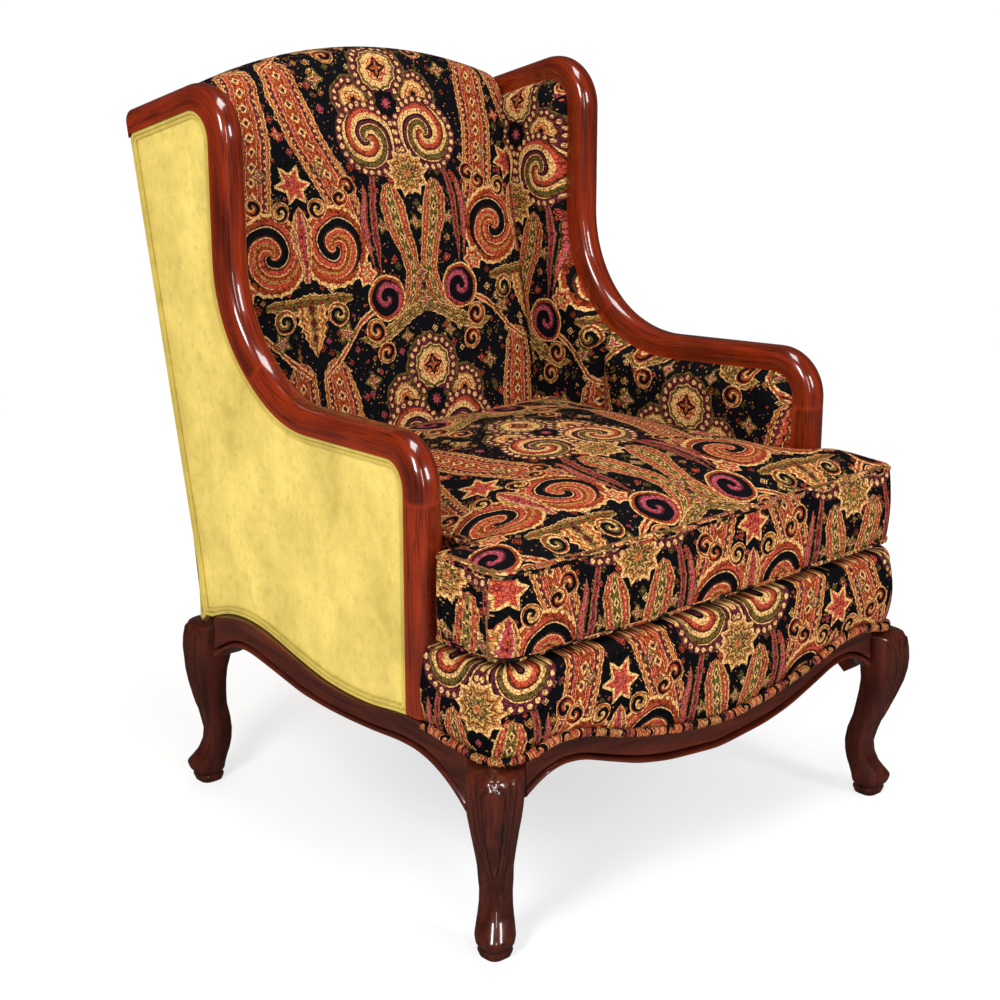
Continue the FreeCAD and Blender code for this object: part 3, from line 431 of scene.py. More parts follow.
def rail(name, spots, outward, low, high, proud, thick):
    """A rail board whose face carries the apron: spots are (x, y) along the face."""
    rings = []
    grain = []
    run = run_along(spots)
    for (x, y), (ox, oy), below, above, swell, along in zip(spots, outward, low, high, proud, run):
        ring = [(x + ox * swell * far, y + oy * swell * far, below + (above - below) * share)
                for share, far in APRON]
        ring += [(x, y, above + 0.001), (x, y, RAIL_TOP), (x - ox * thick, y - oy * thick, RAIL_TOP),
                 (x - ox * thick, y - oy * thick, below + 0.004), (x - ox * thick * 0.9, y - oy * thick * 0.9, below)]
        rings.append(ring)
        grain.append([(along, z, (px - x) * ox + (py - y) * oy) for px, py, z in ring])
    piece = skin(name, rings)
    lay(piece, "grain", np.reshape(grain, (-1, 3)))
    crease(piece, 50)
    return piece


xs = np.linspace(-0.322, 0.322, 130)
bow = 0.015 * (1 - (xs / 0.345) ** 2)
front_spots = np.stack([xs, np.full_like(xs, -0.384)], axis=1)
front_rail = rail("front_seat_rail", front_spots, [(0, -1)] * len(xs), smooth([low_front(x) for x in xs]),
                  smooth([high_front(x) for x in xs]), 0.014 + bow, 0.034)
seat_piece(front_rail, wood_dark, "mahogany", "front_rail")

ys = np.linspace(-0.345, 0.232, 120)
rail_x = 0.3565 - math.tan(math.radians(3)) * (ys + 0.346)
side_spots = np.stack([rail_x, ys], axis=1)
side_out = np.stack([np.cos(math.radians(3)) + 0 * ys, np.sin(math.radians(3)) + 0 * ys], axis=1)
left_rail = rail("side_seat_rail_left", side_spots, side_out, smooth(low_side(ys)), smooth(high_side(ys)),
                 np.full_like(ys, 0.0165), 0.028)
right_rail = mirrored(left_rail, "side_seat_rail_right")
seat_piece(left_rail, wood_dark, "mahogany", "side_rail_left")
seat_piece(right_rail, wood_dark, "mahogany", "side_rail_right")


# Cabriole legs
# Sawn from mahogany with the square block that the rails join left at the top. The knee is
# carved with a round-topped tongue between flutes, and the toe is a scrolled knob on a pad.

def leg(name, toe, out_x, out_y, stations):
    """Rings up the leg; a station is height, centre along the diagonal, flats and squareness."""
    heights = np.concatenate([np.linspace(0, 0.045, 24), np.linspace(0.048, 0.248, 84), [0.262, 0.30, RAIL_TOP]])
    table = np.array(stations)
    count = 88
    angles = np.linspace(0, 2 * math.pi, count, endpoint=False)
    rings = []
    grain = []
    for z in heights:
        centre, flats, square = [np.interp(z, table[:, 0], table[:, k]) for k in (1, 2, 3)]
        half = flats / 2
        ca, sa = np.cos(angles), np.sin(angles)
        reach = (np.abs(ca) ** square + np.abs(sa) ** square) ** (-1 / square)
        # 0 at the outward diagonal, in metres round the leg
        from_front = np.abs((angles - math.pi / 4 + math.pi) % (2 * math.pi) - math.pi)
        round_leg = from_front * half
        cut = np.zeros(count)
        if 0.085 < z < 0.262:
            top = 0.238
            low_end = 0.105
            share = np.clip((z - low_end) / (top - low_end), 0, 1)
            wide = 0.0165 * share ** 0.7 * np.sqrt(np.clip((top - z) / 0.012, 0, 1))
            fade = np.clip((z - 0.088) / 0.03, 0, 1)
            edge = round_leg - wide
            cut += -0.0032 * fade * np.exp(-(edge / 0.0020) ** 2)
            cut += 0.0016 * fade * (edge < 0) * (1 - np.clip(-edge / 0.004, 0, 1) * 0.2)
            flute = 0.0165 * share ** 0.7 + 0.0075
            for step, deep in ((0, 0.0024), (0.0115, 0.0026)):
                cut += -deep * fade * np.exp(-((round_leg - flute - step * (0.45 + 0.55 * share)) / 0.0026) ** 2) \
                    * np.clip((0.246 - z) / 0.02, 0, 1)
        if z < 0.045:
            # scroll of the toe above a cut pad
            cut += -0.0030 * math.exp(-((z - 0.0125) / 0.0028) ** 2)
            cut += 0.0045 * np.exp(-((z - 0.026) / 0.011) ** 2) * np.exp(-(from_front / 0.8) ** 2)
        reach = reach * half + cut
        shift = centre / math.sqrt(2)
        x = shift + reach * ca
        y = shift + reach * sa
        rings.append(np.stack([toe[0] + out_x * x, toe[1] + out_y * y, z + 0 * x], axis=1))
        grain.append(np.stack([z + 0 * x, x, y], axis=1))
    piece = skin(name, rings)
    lay(piece, "grain", np.concatenate(grain))
    crease(piece, 60)
    return piece


def leg_stations(knee, block_set):
    bowed = [(0.0, -0.0245, 0.033, 3.2), (0.010, -0.0245, 0.041, 3.0), (0.014, -0.0240, 0.042, 2.8),
             (0.028, -0.0245, 0.0470, 2.6), (0.040, -0.0295, 0.0435, 2.8), (0.050, -0.0345, 0.0395, 3.2),
             (0.064, -0.0390, 0.0360, 3.6), (0.080, -0.0405, 0.0350, 3.8), (0.098, -0.0365, 0.0370, 3.8),
             (0.118, -0.029, 0.0380, 3.8), (0.136, -0.0235, 0.0420, 3.6), (0.154, -0.0180, 0.0468, 3.4),
             (0.172, -0.0135, 0.0520, 3.2), (0.190, -0.0122, 0.0575, 3.2), (0.206, -0.0130, 0.0610, 3.2),
             (0.222, -0.0155, 0.0640, 3.0), (0.236, -0.0185, 0.0640, 3.0)]
    held_back = [(z, centre + (knee - 0.025) * float(np.clip((z - 0.085) / 0.10, 0, 1)) ** 1.4, flats, square)
                 for z, centre, flats, square in bowed]
    return held_back + [(0.245, knee - 0.0470, 0.0600, 3.6), (0.252, -block_set, 0.0545, 6.0),
                        (RAIL_TOP, -block_set, 0.0545, 9.0)]


front_leg = leg("front_leg_left", (0.374, -0.398), 1, -1, leg_stations(0.025, 0.0594))
rear_leg = leg("rear_leg_left", (0.344, 0.301), 1, 1, leg_stations(0.007, 0.0786))
for left, word, node in ((front_leg, "front_leg_right", "leg_front"), (rear_leg, "rear_leg_right", "leg_rear")):
    right = mirrored(left, word)
    seat_piece(left, wood_dark, "mahogany", node + "_left")
    seat_piece(right, wood_dark, "mahogany", node + "_right")


# Velvet of the outside
# Old-gold cut velvet, crushed by handling: the pile lies in clouds that catch the light or
# turn dark, with a fine rib across and a bright sheen at glancing angles.

def velvet(name, light, dark, welt):
    made = Recipe(name)
    clouds = made.noise(made.place(1, 1, 0.8), 9, 6, 0.68)
    patches = made.noise(made.place(), 75, 5, 0.75)
    nap = made.noise(made.place(1, 1, 2.4), 900, 2, 0.6)
    colour = made.ramp(clouds, [(0.30, dark), (0.62, light)])
    rubbed = made.ramp(patches, [(0.50, (0, 0, 0)), (0.72, (0.42, 0.42, 0.42))])
    colour = made.mix(rubbed, colour, tuple(c * 0.62 for c in dark))
    colour = made.mix(made.math("MULTIPLY", nap, 0.22), colour, tuple(min(1, c * 1.25) for c in light))
    normal = made.bump(nap, 0.35, 0.0008)
    normal = made.bump(clouds, 0.18, 0.004, normal)
    if welt:
        ribs = made.node("ShaderNodeTexWave", sockets={"Vector": made.kept("cord", 1, 0.0035, 0), "Scale": 95.0,
                                                       "Distortion": 1.5, "Detail": 2.0})
        normal = made.bump(ribs, 0.25, 0.0008, normal)
    return made.done(Base_Color=colour, Roughness=0.82, Normal=normal, Sheen_Weight=0.55, Sheen_Roughness=0.35,
                     Sheen_Tint=tuple(min(1, c * 1.4) for c in light), Specular_IOR_Level=0.25)


gold_velvet = velvet("velvet_old_gold", srgb("d0b760"), srgb("a48c3e"), False)
gold_welt = velvet("velvet_welt_cord", srgb("b8a24c"), srgb("8f7c34"), True)


def inside_of(points, edge):
    """Which points lie inside a closed outline."""
    found = np.zeros(len(points), bool)
    a, b = edge, np.roll(edge, -1, axis=0)
    for (x0, y0), (x1, y1) in zip(a, b):
        if y0 == y1:
            continue
        crosses = (y0 > points[:, 1]) != (y1 > points[:, 1])
        found ^= crosses & (points[:, 0] < (x1 - x0) * (points[:, 1] - y0) / (y1 - y0) + x0)
    return found


def far_from(points, edge):
    """Distance of each point from a closed outline."""
    least = np.full(len(points), 9.0)
    for a, b in zip(edge, np.roll(edge, -1, axis=0)):
        along = b - a
        length = along @ along
        if length == 0:
            continue
        t = np.clip(((points - a) @ along) / length, 0, 1)
        least = np.minimum(least, np.linalg.norm(points - a - t[:, None] * along, axis=1))
    return least


def plate(name, edge, gap, to_space, rise, back, cloth=None):
    """A filled outline lifted by rise(distance from the edge, points), with a skirt to its back."""
    edge = np.asarray(edge, float)
    if np.linalg.norm(edge[0] - edge[-1]) < 1e-6:
        edge = edge[:-1]
    low, high = edge.min(axis=0), edge.max(axis=0)
    rows = np.arange(low[1] + gap / 2, high[1], gap)
    grid = np.array([(x + (gap / 2 if k % 2 else 0), y) for k, y in enumerate(rows)
                     for x in np.arange(low[0], high[0], gap)])
    grid = grid[inside_of(grid, edge)]
    grid = grid[far_from(grid, edge) > gap * 0.55]
    count = len(edge)
    spots = [Vector(p) for p in edge] + [Vector(p) for p in grid]
    found = delaunay_2d_cdt(spots, [], [list(range(count))], 1, 1e-7)
    points = np.array([tuple(p) for p in found[0]])
    face_list = [tuple(f) for f in found[2]]
    away = far_from(points, edge)
    top = to_space(points[:, 0], points[:, 1], rise(away, points))
    base = to_space(edge[:, 0], edge[:, 1], np.full(count, back))
    origin = {}
    for index, sources in enumerate(found[3]):
        for source in sources:
            origin[source] = index
    ring = [origin[i] for i in range(count)]
    start = len(points)
    for i in range(count):
        j = (i + 1) % count
        face_list.append((ring[i], start + i, start + j, ring[j]))
    face_list.append(tuple(start + i for i in range(count)))
    piece = solid(name, np.concatenate([top, base]), face_list)
    flat = np.concatenate([points, edge])
    if cloth is not None:
        lay(piece, "cloth", np.stack([*cloth(flat[:, 0], flat[:, 1]), np.zeros(len(flat))], axis=1))
    return piece


def cord(name, line, radius, sides=10, closed=False, ripple=None):
    """A round cord along a line of points."""
    line = np.asarray(line, float)
    ahead = np.gradient(line, axis=0)
    if closed:
        ahead = np.roll(line, -1, axis=0) - np.roll(line, 1, axis=0)
    ahead /= np.linalg.norm(ahead, axis=1)[:, None]
    run = run_along(line)
    side = np.cross(ahead[0], (0.31, 0.17, 0.93))
    rings = []
    kept = []
    turn = np.linspace(0, 2 * math.pi, sides, endpoint=False)
    for i, (spot, forward) in enumerate(zip(line, ahead)):
        side = side - forward * (side @ forward)
        side /= np.linalg.norm(side)
        other = np.cross(forward, side)
        size = radius * (1 if ripple is None else ripple[i])
        rings.append(spot + size * (np.cos(turn)[:, None] * side + np.sin(turn)[:, None] * other))
        kept.append(np.stack([run[i] + 0 * turn, turn, 0 * turn], axis=1))
    piece = skin(name, rings, looped=closed)
    lay(piece, "cord", np.concatenate(kept))
    return piece


def cord_kept(piece):
    """Run along and turn round a cord at each of its points."""
    found = np.zeros(len(piece.data.vertices) * 3, np.float32)
    piece.data.attributes["cord"].data.foreach_get("vector", found)
    return found.reshape(-1, 3)


def join(name, parts):
    """Several meshes as one piece."""
    for item in bpy.context.selected_objects:
        item.select_set(False)
    for part in parts:
        part.select_set(True)
    bpy.context.view_layer.objects.active = parts[0]
    bpy.ops.object.join()
    parts[0].name = name
    parts[0].data.name = name
    parts[0].select_set(False)
    return parts[0]


# Outside panels of the arms and wings
# Velvet pulled over card inside the moulding and stapled under a double welt of the same velvet,
# two cords side by side, that follows the moulding, the back corner and the apron.

def side_edge(inset):
    """Outline of the side's field: under the moulding, down the back and along the apron."""
    under = DEPTH + inset
    top = side_line(under, 0.006)
    top = top[top[:, 0] < back_y(top[:, 1]) - 0.006 - inset]
    front_y = STUMP + under
    low_y = np.arange(front_y, 0.245 - inset, 0.006)
    low = np.stack([low_y, smooth(high_side(low_y)) + 0.0008 + inset], axis=1)
    top = top[top[:, 1] > low[0, 1] + 0.003]
    heel = np.array([(0.262 - inset, 0.262 + inset), (back_y(RAIL_TOP) - 0.006 - inset, RAIL_TOP)])
    back_z = np.linspace(RAIL_TOP, top[0, 1], 90)[1:-1]
    rear = np.stack([back_y(back_z) - 0.006 - inset, back_z], axis=1)
    return np.concatenate([top, low, even(heel, 0.006), rear])


field = side_edge(0.0)
left = plate("outside_velvet_left", field, 0.008, on_side,
             lambda away, points: 0.0146 + 0.0022 * (1 - np.exp(-away / 0.05)), 0.0130)
right = mirrored(left, "outside_velvet_right")
seat_piece(left, gold_velvet, "velvet", "outside_panel_left")
seat_piece(right, gold_velvet, "velvet", "outside_panel_right")

cords = []
for inset in (0.0028, 0.0083):
    run = side_edge(inset)
    run = even(np.concatenate([run, run[:1]]), 0.004)[:-1]
    cords.append(cord("welt_part", on_side(run[:, 0], run[:, 1], 0.0166), 0.0028, 10, closed=True))
left = join("side_double_welt_left", cords)
right = mirrored(left, "side_double_welt_right")
seat_piece(left, gold_welt, "velvet_welt", "side_welt_left")
seat_piece(right, gold_welt, "velvet_welt", "side_welt_right")


# Outside back
# One velvet panel from the crest to the seat rail, leaning with the back, with a double welt
# down both sides and over the top.

def crest_at(x):
    return 1.034 - 0.050 * (x / 0.275) ** 2


def on_back(x, up, out):
    """Places on the back: up along its rake, out behind its outside face."""
    x = np.asarray(x, float)
    up = np.asarray(up, float)
    y = BACK + up * math.sin(RAKE) + out * math.cos(RAKE)
    z = up * math.cos(RAKE) - out * math.sin(RAKE)
    straight = z < RAIL_TOP
    y = np.where(straight, back_y(RAIL_TOP) + out, y)
    return np.stack([x + 0 * up, y + 0 * x, z + 0 * x], axis=-1)


def back_edge(inset):
    xs = np.linspace(-0.332 + inset, 0.332 - inset, 90)
    top = np.stack([xs, np.array([crest_at(x) for x in xs]) - 0.014 - inset], axis=1)
    side = np.linspace(top[-1, 1], 0.252 + inset, 110)[1:-1]
    right = np.stack([np.full_like(side, 0.332 - inset), side], axis=1)
    foot = np.stack([xs[::-1], np.full_like(xs, 0.252 + inset)], axis=1)
    return np.concatenate([top, right, foot, right[::-1] * (-1, 1)])


panel = plate("outside_back_velvet", back_edge(0.0), 0.009, on_back,
              lambda away, points: -0.0022 + 0.0020 * (1 - np.exp(-away / 0.06)), -0.0036)
seat_piece(panel, gold_velvet, "velvet", "outside_back_panel")
cords = []
for inset in (0.0028, 0.0083):
    run = back_edge(inset)
    run = even(np.concatenate([run, run[:1]]), 0.004)[:-1]
    cords.append(cord("welt_part", on_back(run[:, 0], run[:, 1], 0.0006), 0.0028, 10, closed=True))
welt = join("back_double_welt", cords)
seat_piece(welt, gold_welt, "velvet_welt", "back_welt")


# Woven paisley of the inside
# A heavy woven cotton: tall botehs, spirals and palmettes in rust, coral, tan, cream and olive
# on a blue-black ground, mirrored about upright axes. A fine rib runs across the weave.

HALF_REPEAT = 0.205
DROP = 0.437 / HALF_REPEAT
NAVY, CREAM, TAN = srgb("07080f"), srgb("dcb26f"), srgb("ae7b3e")
CORAL, RUST, BROWN = srgb("b84a35"), srgb("983d1b"), srgb("522617")
OLIVE, PLUM, PINK = srgb("625423"), srgb("58222c"), srgb("a84854")
ORANGE, BLACK = srgb("c06c30"), srgb("07070c")


class Cartoon:
    """The weaver's drawing: motifs laid over one another in one half repeat. a is the distance
    from the medallion's axis and b from the flower's, t runs down the cloth, all in half repeats."""

    def __init__(self, recipe, u, v):
        self.recipe = recipe
        self.a = recipe.math("PINGPONG", u, 1.0)
        self.b = 1.0 - self.a
        self.v = v
        self.colour = NAVY

    def drop(self, middle):
        """Distance down the cloth from a height, the nearest repeat's."""
        return self.recipe.math("WRAP", self.v - middle, DROP / 2, -DROP / 2)

    def lay(self, share, colour):
        self.colour = self.recipe.mix(share, self.colour, colour)

    def disc(self, side, x, t, size, stops, coils=0, petals=0, depth=0.0, beads=None, hole=0.0):
        """A round motif: rings of colour, or a coil of them, with petals round its rim."""
        made = self.recipe
        dx = (self.a if side == "a" else self.b) - x
        dt = self.drop(t)
        far = made.math("SQRT", dx * dx + dt * dt) / size
        turn = made.math("ARCTAN2", dt, dx)
        rim = far
        if petals:
            rim = far + made.math("ABSOLUTE", made.math("SINE", turn * (petals / 2))) * depth
        if coils:
            band = made.math("FRACT", far * abs(coils) + turn * (math.copysign(1, coils) / (2 * math.pi)) + 4.0)
            paint = made.ramp(band, stops, True)
            paint = made.mix(rim.above(0.80), paint, RUST)
            paint = made.mix(rim.above(0.92), paint, CREAM)
        else:
            paint = made.ramp(rim, stops, True)
        if beads:
            ring, number, tone = beads
            near = made.math("ABSOLUTE", rim - ring) * 9
            pearl = made.math("ABSOLUTE", made.math("SINE", turn * (number / 2)))
            paint = made.mix((near + (1.0 - pearl) * 1.2).below(0.62), paint, tone)
        self.lay(rim.below(1.0) * rim.above(hole - 0.001), paint)

    def ribbon(self, side, start, end, stops, paint_stops, chain=CREAM, teeth=0.05, across=None):
        """A curved motif that runs down the cloth. A stop is share of the run, offset, half width.
        With across, it runs sideways from the axis instead, at offsets below that height."""
        made = self.recipe
        beside = self.a if side == "a" else self.b
        if across is None:
            middle = (start + end) / 2
            run = self.drop(middle) + middle
        else:
            run = beside
        share = (run - start) / (end - start)
        guide = made.ramp(share, [(s, (offset, wide, 0.0)) for s, offset, wide in stops])
        parts = made.node("ShaderNodeSeparateColor", sockets={0: guide}).node
        offset, wide = Value(made, parts.outputs[0]), Value(made, parts.outputs[1])
        place = beside if across is None else self.drop(across)
        away = made.math("ABSOLUTE", place - offset) / made.math("MAXIMUM", wide, 0.004)
        rim = away + made.math("ABSOLUTE", made.math("SINE", run * 55)) * teeth
        paint = made.ramp(rim, paint_stops, True)
        lozenge = away * 3.6 + made.math("PINGPONG", run * 20, 1.0) * 1.0
        paint = made.mix(lozenge.below(0.80), paint, chain)
        paint = made.mix(lozenge.below(0.42), paint, PLUM)
        pearl = made.math("ABSOLUTE", away - 0.63) * 9 + made.math("PINGPONG", run * 44, 1.0) * 0.9
        paint = made.mix(pearl.below(0.50), paint, chain)
        inside = share.above(0.0) * share.below(1.0) * rim.below(1.0)
        self.lay(inside, paint)


def ground(made, drawing, where):
    """Small leaves and lozenges between the large motifs."""
    cells = {"Vector": where, "Scale": 62.0, "Randomness": 0.9}
    leaf = Value(made, made.node("ShaderNodeTexVoronoi", "Distance", sockets=cells, distance="MANHATTAN"))
    tint = made.node("ShaderNodeTexVoronoi", "Color", sockets=cells, distance="MANHATTAN")
    hue = made.node("ShaderNodeSeparateColor", sockets={0: tint}).node.outputs[0]
    tone = made.ramp(hue, [(0.0, CORAL), (0.16, NAVY), (0.30, OLIVE), (0.46, TAN), (0.56, NAVY), (0.68, PINK),
                           (0.78, CREAM), (0.88, RUST)], True)
    drawing.lay(leaf.below(0.50), tone)
    drawing.lay(leaf.below(0.40), NAVY)
    drawing.lay(leaf.below(0.29), tone)
    drawing.lay(leaf.below(0.10), BLACK)
    seeds = Value(made, made.node("ShaderNodeTexVoronoi", "Distance", sockets={"Vector": where, "Scale": 150.0}))
    drawing.lay(seeds.below(0.17), TAN)


def paisley(name):
    made = Recipe(name)
    cloth = made.kept("cloth")
    wobble = made.node("ShaderNodeTexNoise", "Color", sockets={"Vector": cloth, "Scale": 24.0, "Detail": 2.0})
    shift = made.node("ShaderNodeVectorMath", sockets={0: wobble, 1: (0.5, 0.5, 0.5)}, operation="SUBTRACT")
    shift = made.node("ShaderNodeVectorMath", sockets={0: shift, 1: (0.009, 0.009, 0.0)}, operation="MULTIPLY")
    where = made.node("ShaderNodeVectorMath", sockets={0: cloth, 1: shift}, operation="ADD")
    parts = made.node("ShaderNodeSeparateXYZ", sockets={0: where}).node
    drawing = Cartoon(made, Value(made, parts.outputs[0]) / HALF_REPEAT, Value(made, parts.outputs[1]) / HALF_REPEAT)
    ground(made, drawing, where)

    # long botehs beside the flower's axis, their heads together and their tails curled in
    long_paint = [(0.0, RUST), (0.27, CREAM), (0.30, BROWN), (0.34, CORAL), (0.47, CREAM), (0.50, RUST), (0.55, PLUM),
                  (0.73, CREAM), (0.76, ORANGE), (0.87, BROWN), (0.90, CREAM), (0.95, BROWN)]
    drawing.ribbon("b", 0.02, 1.42, [(0.0, 0.14, 0.0), (0.02, 0.14, 0.07), (0.07, 0.145, 0.12), (0.22, 0.17, 0.155),
                                     (0.45, 0.22, 0.16), (0.66, 0.32, 0.16), (0.85, 0.41, 0.15), (1.0, 0.44, 0.12)],
                   long_paint)
    drawing.ribbon("a", 0.80, 1.66, [(0.0, 0.27, 0.0), (0.1, 0.31, 0.022), (0.4, 0.37, 0.03), (0.7, 0.37, 0.03),
                                     (1.0, 0.36, 0.0)], [(0.0, PLUM), (0.45, CORAL), (0.75, OLIVE)], PINK)
    drawing.disc("b", 0.265, 1.40, 0.295, [(0.0, NAVY), (0.12, CREAM), (0.16, BROWN), (0.22, CORAL), (0.38, CREAM),
                                           (0.42, RUST), (0.54, TAN), (0.64, CORAL), (0.78, CREAM), (0.82, BROWN),
                                           (0.88, NAVY)], coils=-1.35, petals=26, depth=0.035)
    # slim botehs that hang from the palmette, meet, and part again over an arch
    slim_paint = [(0.0, OLIVE), (0.30, CREAM), (0.35, TAN), (0.46, BROWN), (0.50, CORAL), (0.76, PLUM), (0.81, TAN),
                  (0.90, CREAM), (0.95, BROWN)]
    drawing.ribbon("a", 1.00, 2.08, [(0.0, 0.20, 0.0), (0.03, 0.20, 0.06), (0.12, 0.20, 0.105), (0.28, 0.165, 0.115),
                                     (0.46, 0.10, 0.085), (0.60, 0.075, 0.075), (0.76, 0.11, 0.075),
                                     (0.90, 0.22, 0.08), (1.0, 0.34, 0.06)], slim_paint)
    drawing.ribbon("a", 0.0, 0.62, [(0.0, 0.0, 0.04), (0.2, 0.035, 0.05), (0.5, 0.13, 0.06), (0.8, 0.19, 0.055),
                                    (1.0, 0.16, 0.0)], [(0.0, OLIVE), (0.45, TAN), (0.62, OLIVE), (0.85, CREAM)],
                   CREAM, 0.12, across=1.90)
    drawing.ribbon("a", 1.0, 1.62, [(0.0, 0.42, 0.0), (0.1, 0.43, 0.025), (0.4, 0.46, 0.04), (0.7, 0.44, 0.022),
                                    (1.0, 0.41, 0.0)], [(0.0, PINK), (0.5, CORAL), (0.7, NAVY), (0.82, OLIVE)], TAN)
    # flowering stems that run up from the crown, and the pink spirals
    drawing.ribbon("b", 0.05, 0.62, [(0.0, 0.56, 0.028), (0.3, 0.42, 0.032), (0.6, 0.24, 0.035), (1.0, 0.10, 0.03)],
                   [(0.0, CORAL), (0.5, CREAM)], BROWN, 0.2, across=1.72)
    drawing.disc("a", 0.34, 1.80, 0.165, [(0.0, NAVY), (0.40, PINK), (0.70, PLUM), (0.82, NAVY)], coils=1.5)
    drawing.disc("a", 0.50, 1.62, 0.10, [(0.0, OLIVE), (0.3, CREAM), (0.5, CORAL), (0.8, CREAM)], petals=6, depth=0.3)
    # olive crown with its drops, under the curled tails
    drawing.ribbon("b", 0.0, 0.36, [(0.0, 0.0, 0.075), (0.4, 0.01, 0.06), (0.75, 0.0, 0.045), (1.0, -0.03, 0.02)],
                   [(0.0, OLIVE), (0.55, TAN), (0.75, OLIVE), (0.88, CREAM)], RUST, 0.15, across=1.76)
    drawing.ribbon("b", 1.78, 2.14, [(0.0, 0.0, 0.14), (0.3, 0.0, 0.13), (0.6, 0.0, 0.085), (1.0, 0.0, 0.0)],
                   [(0.0, OLIVE), (0.25, TAN), (0.5, CREAM), (0.62, ORANGE), (0.85, CREAM)], BROWN, 0.2)
    drawing.disc("b", 0.22, 1.86, 0.085, [(0.0, NAVY), (0.45, CREAM), (0.7, OLIVE)], coils=1.3)
    # vase between the curled tails, and the six-petalled flower over it
    drawing.ribbon("b", 1.10, 1.62, [(0.0, 0.0, 0.0), (0.1, 0.0, 0.05), (0.3, 0.0, 0.10), (0.5, 0.0, 0.095),
                                     (0.75, 0.0, 0.05), (1.0, 0.0, 0.03)],
                   [(0.0, RUST), (0.22, PINK), (0.42, CREAM), (0.52, TAN), (0.78, CREAM), (0.92, RUST)], CORAL, 0.12)
    drawing.disc("b", 0.0, 0.95, 0.15, [(0.0, CREAM), (0.12, PINK), (0.26, NAVY), (0.34, CORAL), (0.80, CREAM)],
                 petals=6, depth=0.42)
    drawing.disc("b", 0.0, 0.60, 0.055, [(0.0, NAVY), (0.4, CREAM), (0.6, CORAL)], petals=4, depth=0.5)
    drawing.disc("b", 0.15, 1.12, 0.075, [(0.0, NAVY), (0.45, TAN), (0.8, CREAM)], coils=1.2)
    # small flowers, drops and curls that fill the ground
    curl = [(0.0, NAVY), (0.45, TAN), (0.62, CREAM), (0.74, RUST)]
    bloom = [(0.0, BLACK), (0.16, CREAM), (0.26, PINK), (0.52, BROWN), (0.60, CREAM), (0.72, OLIVE)]
    for side, x, t, size, petals in (("a", 0.0, 1.66, 0.080, 4), ("a", 0.0, 1.86, 0.100, 5),
                                     ("a", 0.30, 1.30, 0.060, 5), ("a", 0.55, 0.24, 0.075, 4),
                                     ("b", 0.27, 2.00, 0.085, 5), ("a", 0.0, 1.30, 0.060, 4),
                                     ("a", 0.20, 2.10, 0.060, 4), ("b", 0.24, 0.86, 0.060, 4)):
        drawing.disc(side, x, t, size, bloom, petals=petals, depth=0.42)
    for side, x, t, size, way in (("a", 0.47, 2.02, 0.085, 1.2), ("a", 0.40, 0.06, 0.080, -1.2),
                                  ("a", 0.56, 1.00, 0.075, -1.2), ("b", 0.36, 1.06, 0.070, 1.2)):
        drawing.disc(side, x, t, size, curl, coils=way)
    # medallion: two great spirals under a lobed head, and a dark rosette between them
    drawing.disc("a", 0.27, 0.41, 0.195, [(0.0, BLACK), (0.16, ORANGE), (0.28, CREAM), (0.34, RUST), (0.40, CREAM),
                                          (0.55, TAN), (0.62, BROWN), (0.68, PLUM), (0.92, OLIVE)],
                 petals=10, depth=0.06, beads=(0.80, 18, CREAM))
    drawing.disc("a", 0.25, 0.69, 0.27, [(0.0, OLIVE), (0.16, BROWN), (0.20, CREAM), (0.24, PLUM), (0.36, BLACK),
                                         (0.42, CREAM), (0.62, CORAL), (0.74, RUST), (0.80, BROWN), (0.86, CREAM)],
                 coils=1.3)
    drawing.disc("a", 0.25, 0.69, 0.272, [(0.0, PLUM)], hole=0.80, beads=(0.90, 26, CREAM))
    drawing.disc("a", 0.0, 0.205, 0.25, [(0.0, BLACK), (0.14, ORANGE), (0.22, RUST), (0.28, CREAM), (0.33, CORAL),
                                         (0.38, CREAM), (0.56, OLIVE), (0.64, CREAM), (0.67, PLUM), (0.93, OLIVE)],
                 petals=12, depth=0.05, beads=(0.83, 22, CREAM))
    drawing.disc("a", 0.0, 0.45, 0.105, [(0.0, PINK), (0.38, PLUM), (0.5, BLACK)], petals=8, depth=0.2)
    # palmette fan under the medallion
    drawing.disc("a", 0.0, 0.95, 0.185, [(0.0, ORANGE), (0.22, RUST), (0.30, CREAM), (0.34, OLIVE), (0.54, CREAM),
                                         (0.60, TAN), (0.68, BROWN), (0.74, TAN), (0.86, CREAM)], petals=11, depth=0.22)
    # dark diamond in the medallion's head
    drawing.disc("a", 0.0, 0.195, 0.085, [(0.0, NAVY), (0.34, CREAM), (0.44, RUST), (0.74, BLACK)], petals=4, depth=0.5)
    # every colour is broken up by fine dark outlines, as the shuttle changes
    fine = {"Vector": where, "Scale": 210.0, "Randomness": 0.75}
    edge = Value(made, made.node("ShaderNodeTexVoronoi", "Distance", sockets=fine, feature="DISTANCE_TO_EDGE"))
    drawing.lay(edge.below(0.075), made.mix(1.0, drawing.colour, (0.30, 0.20, 0.20), "MULTIPLY"))

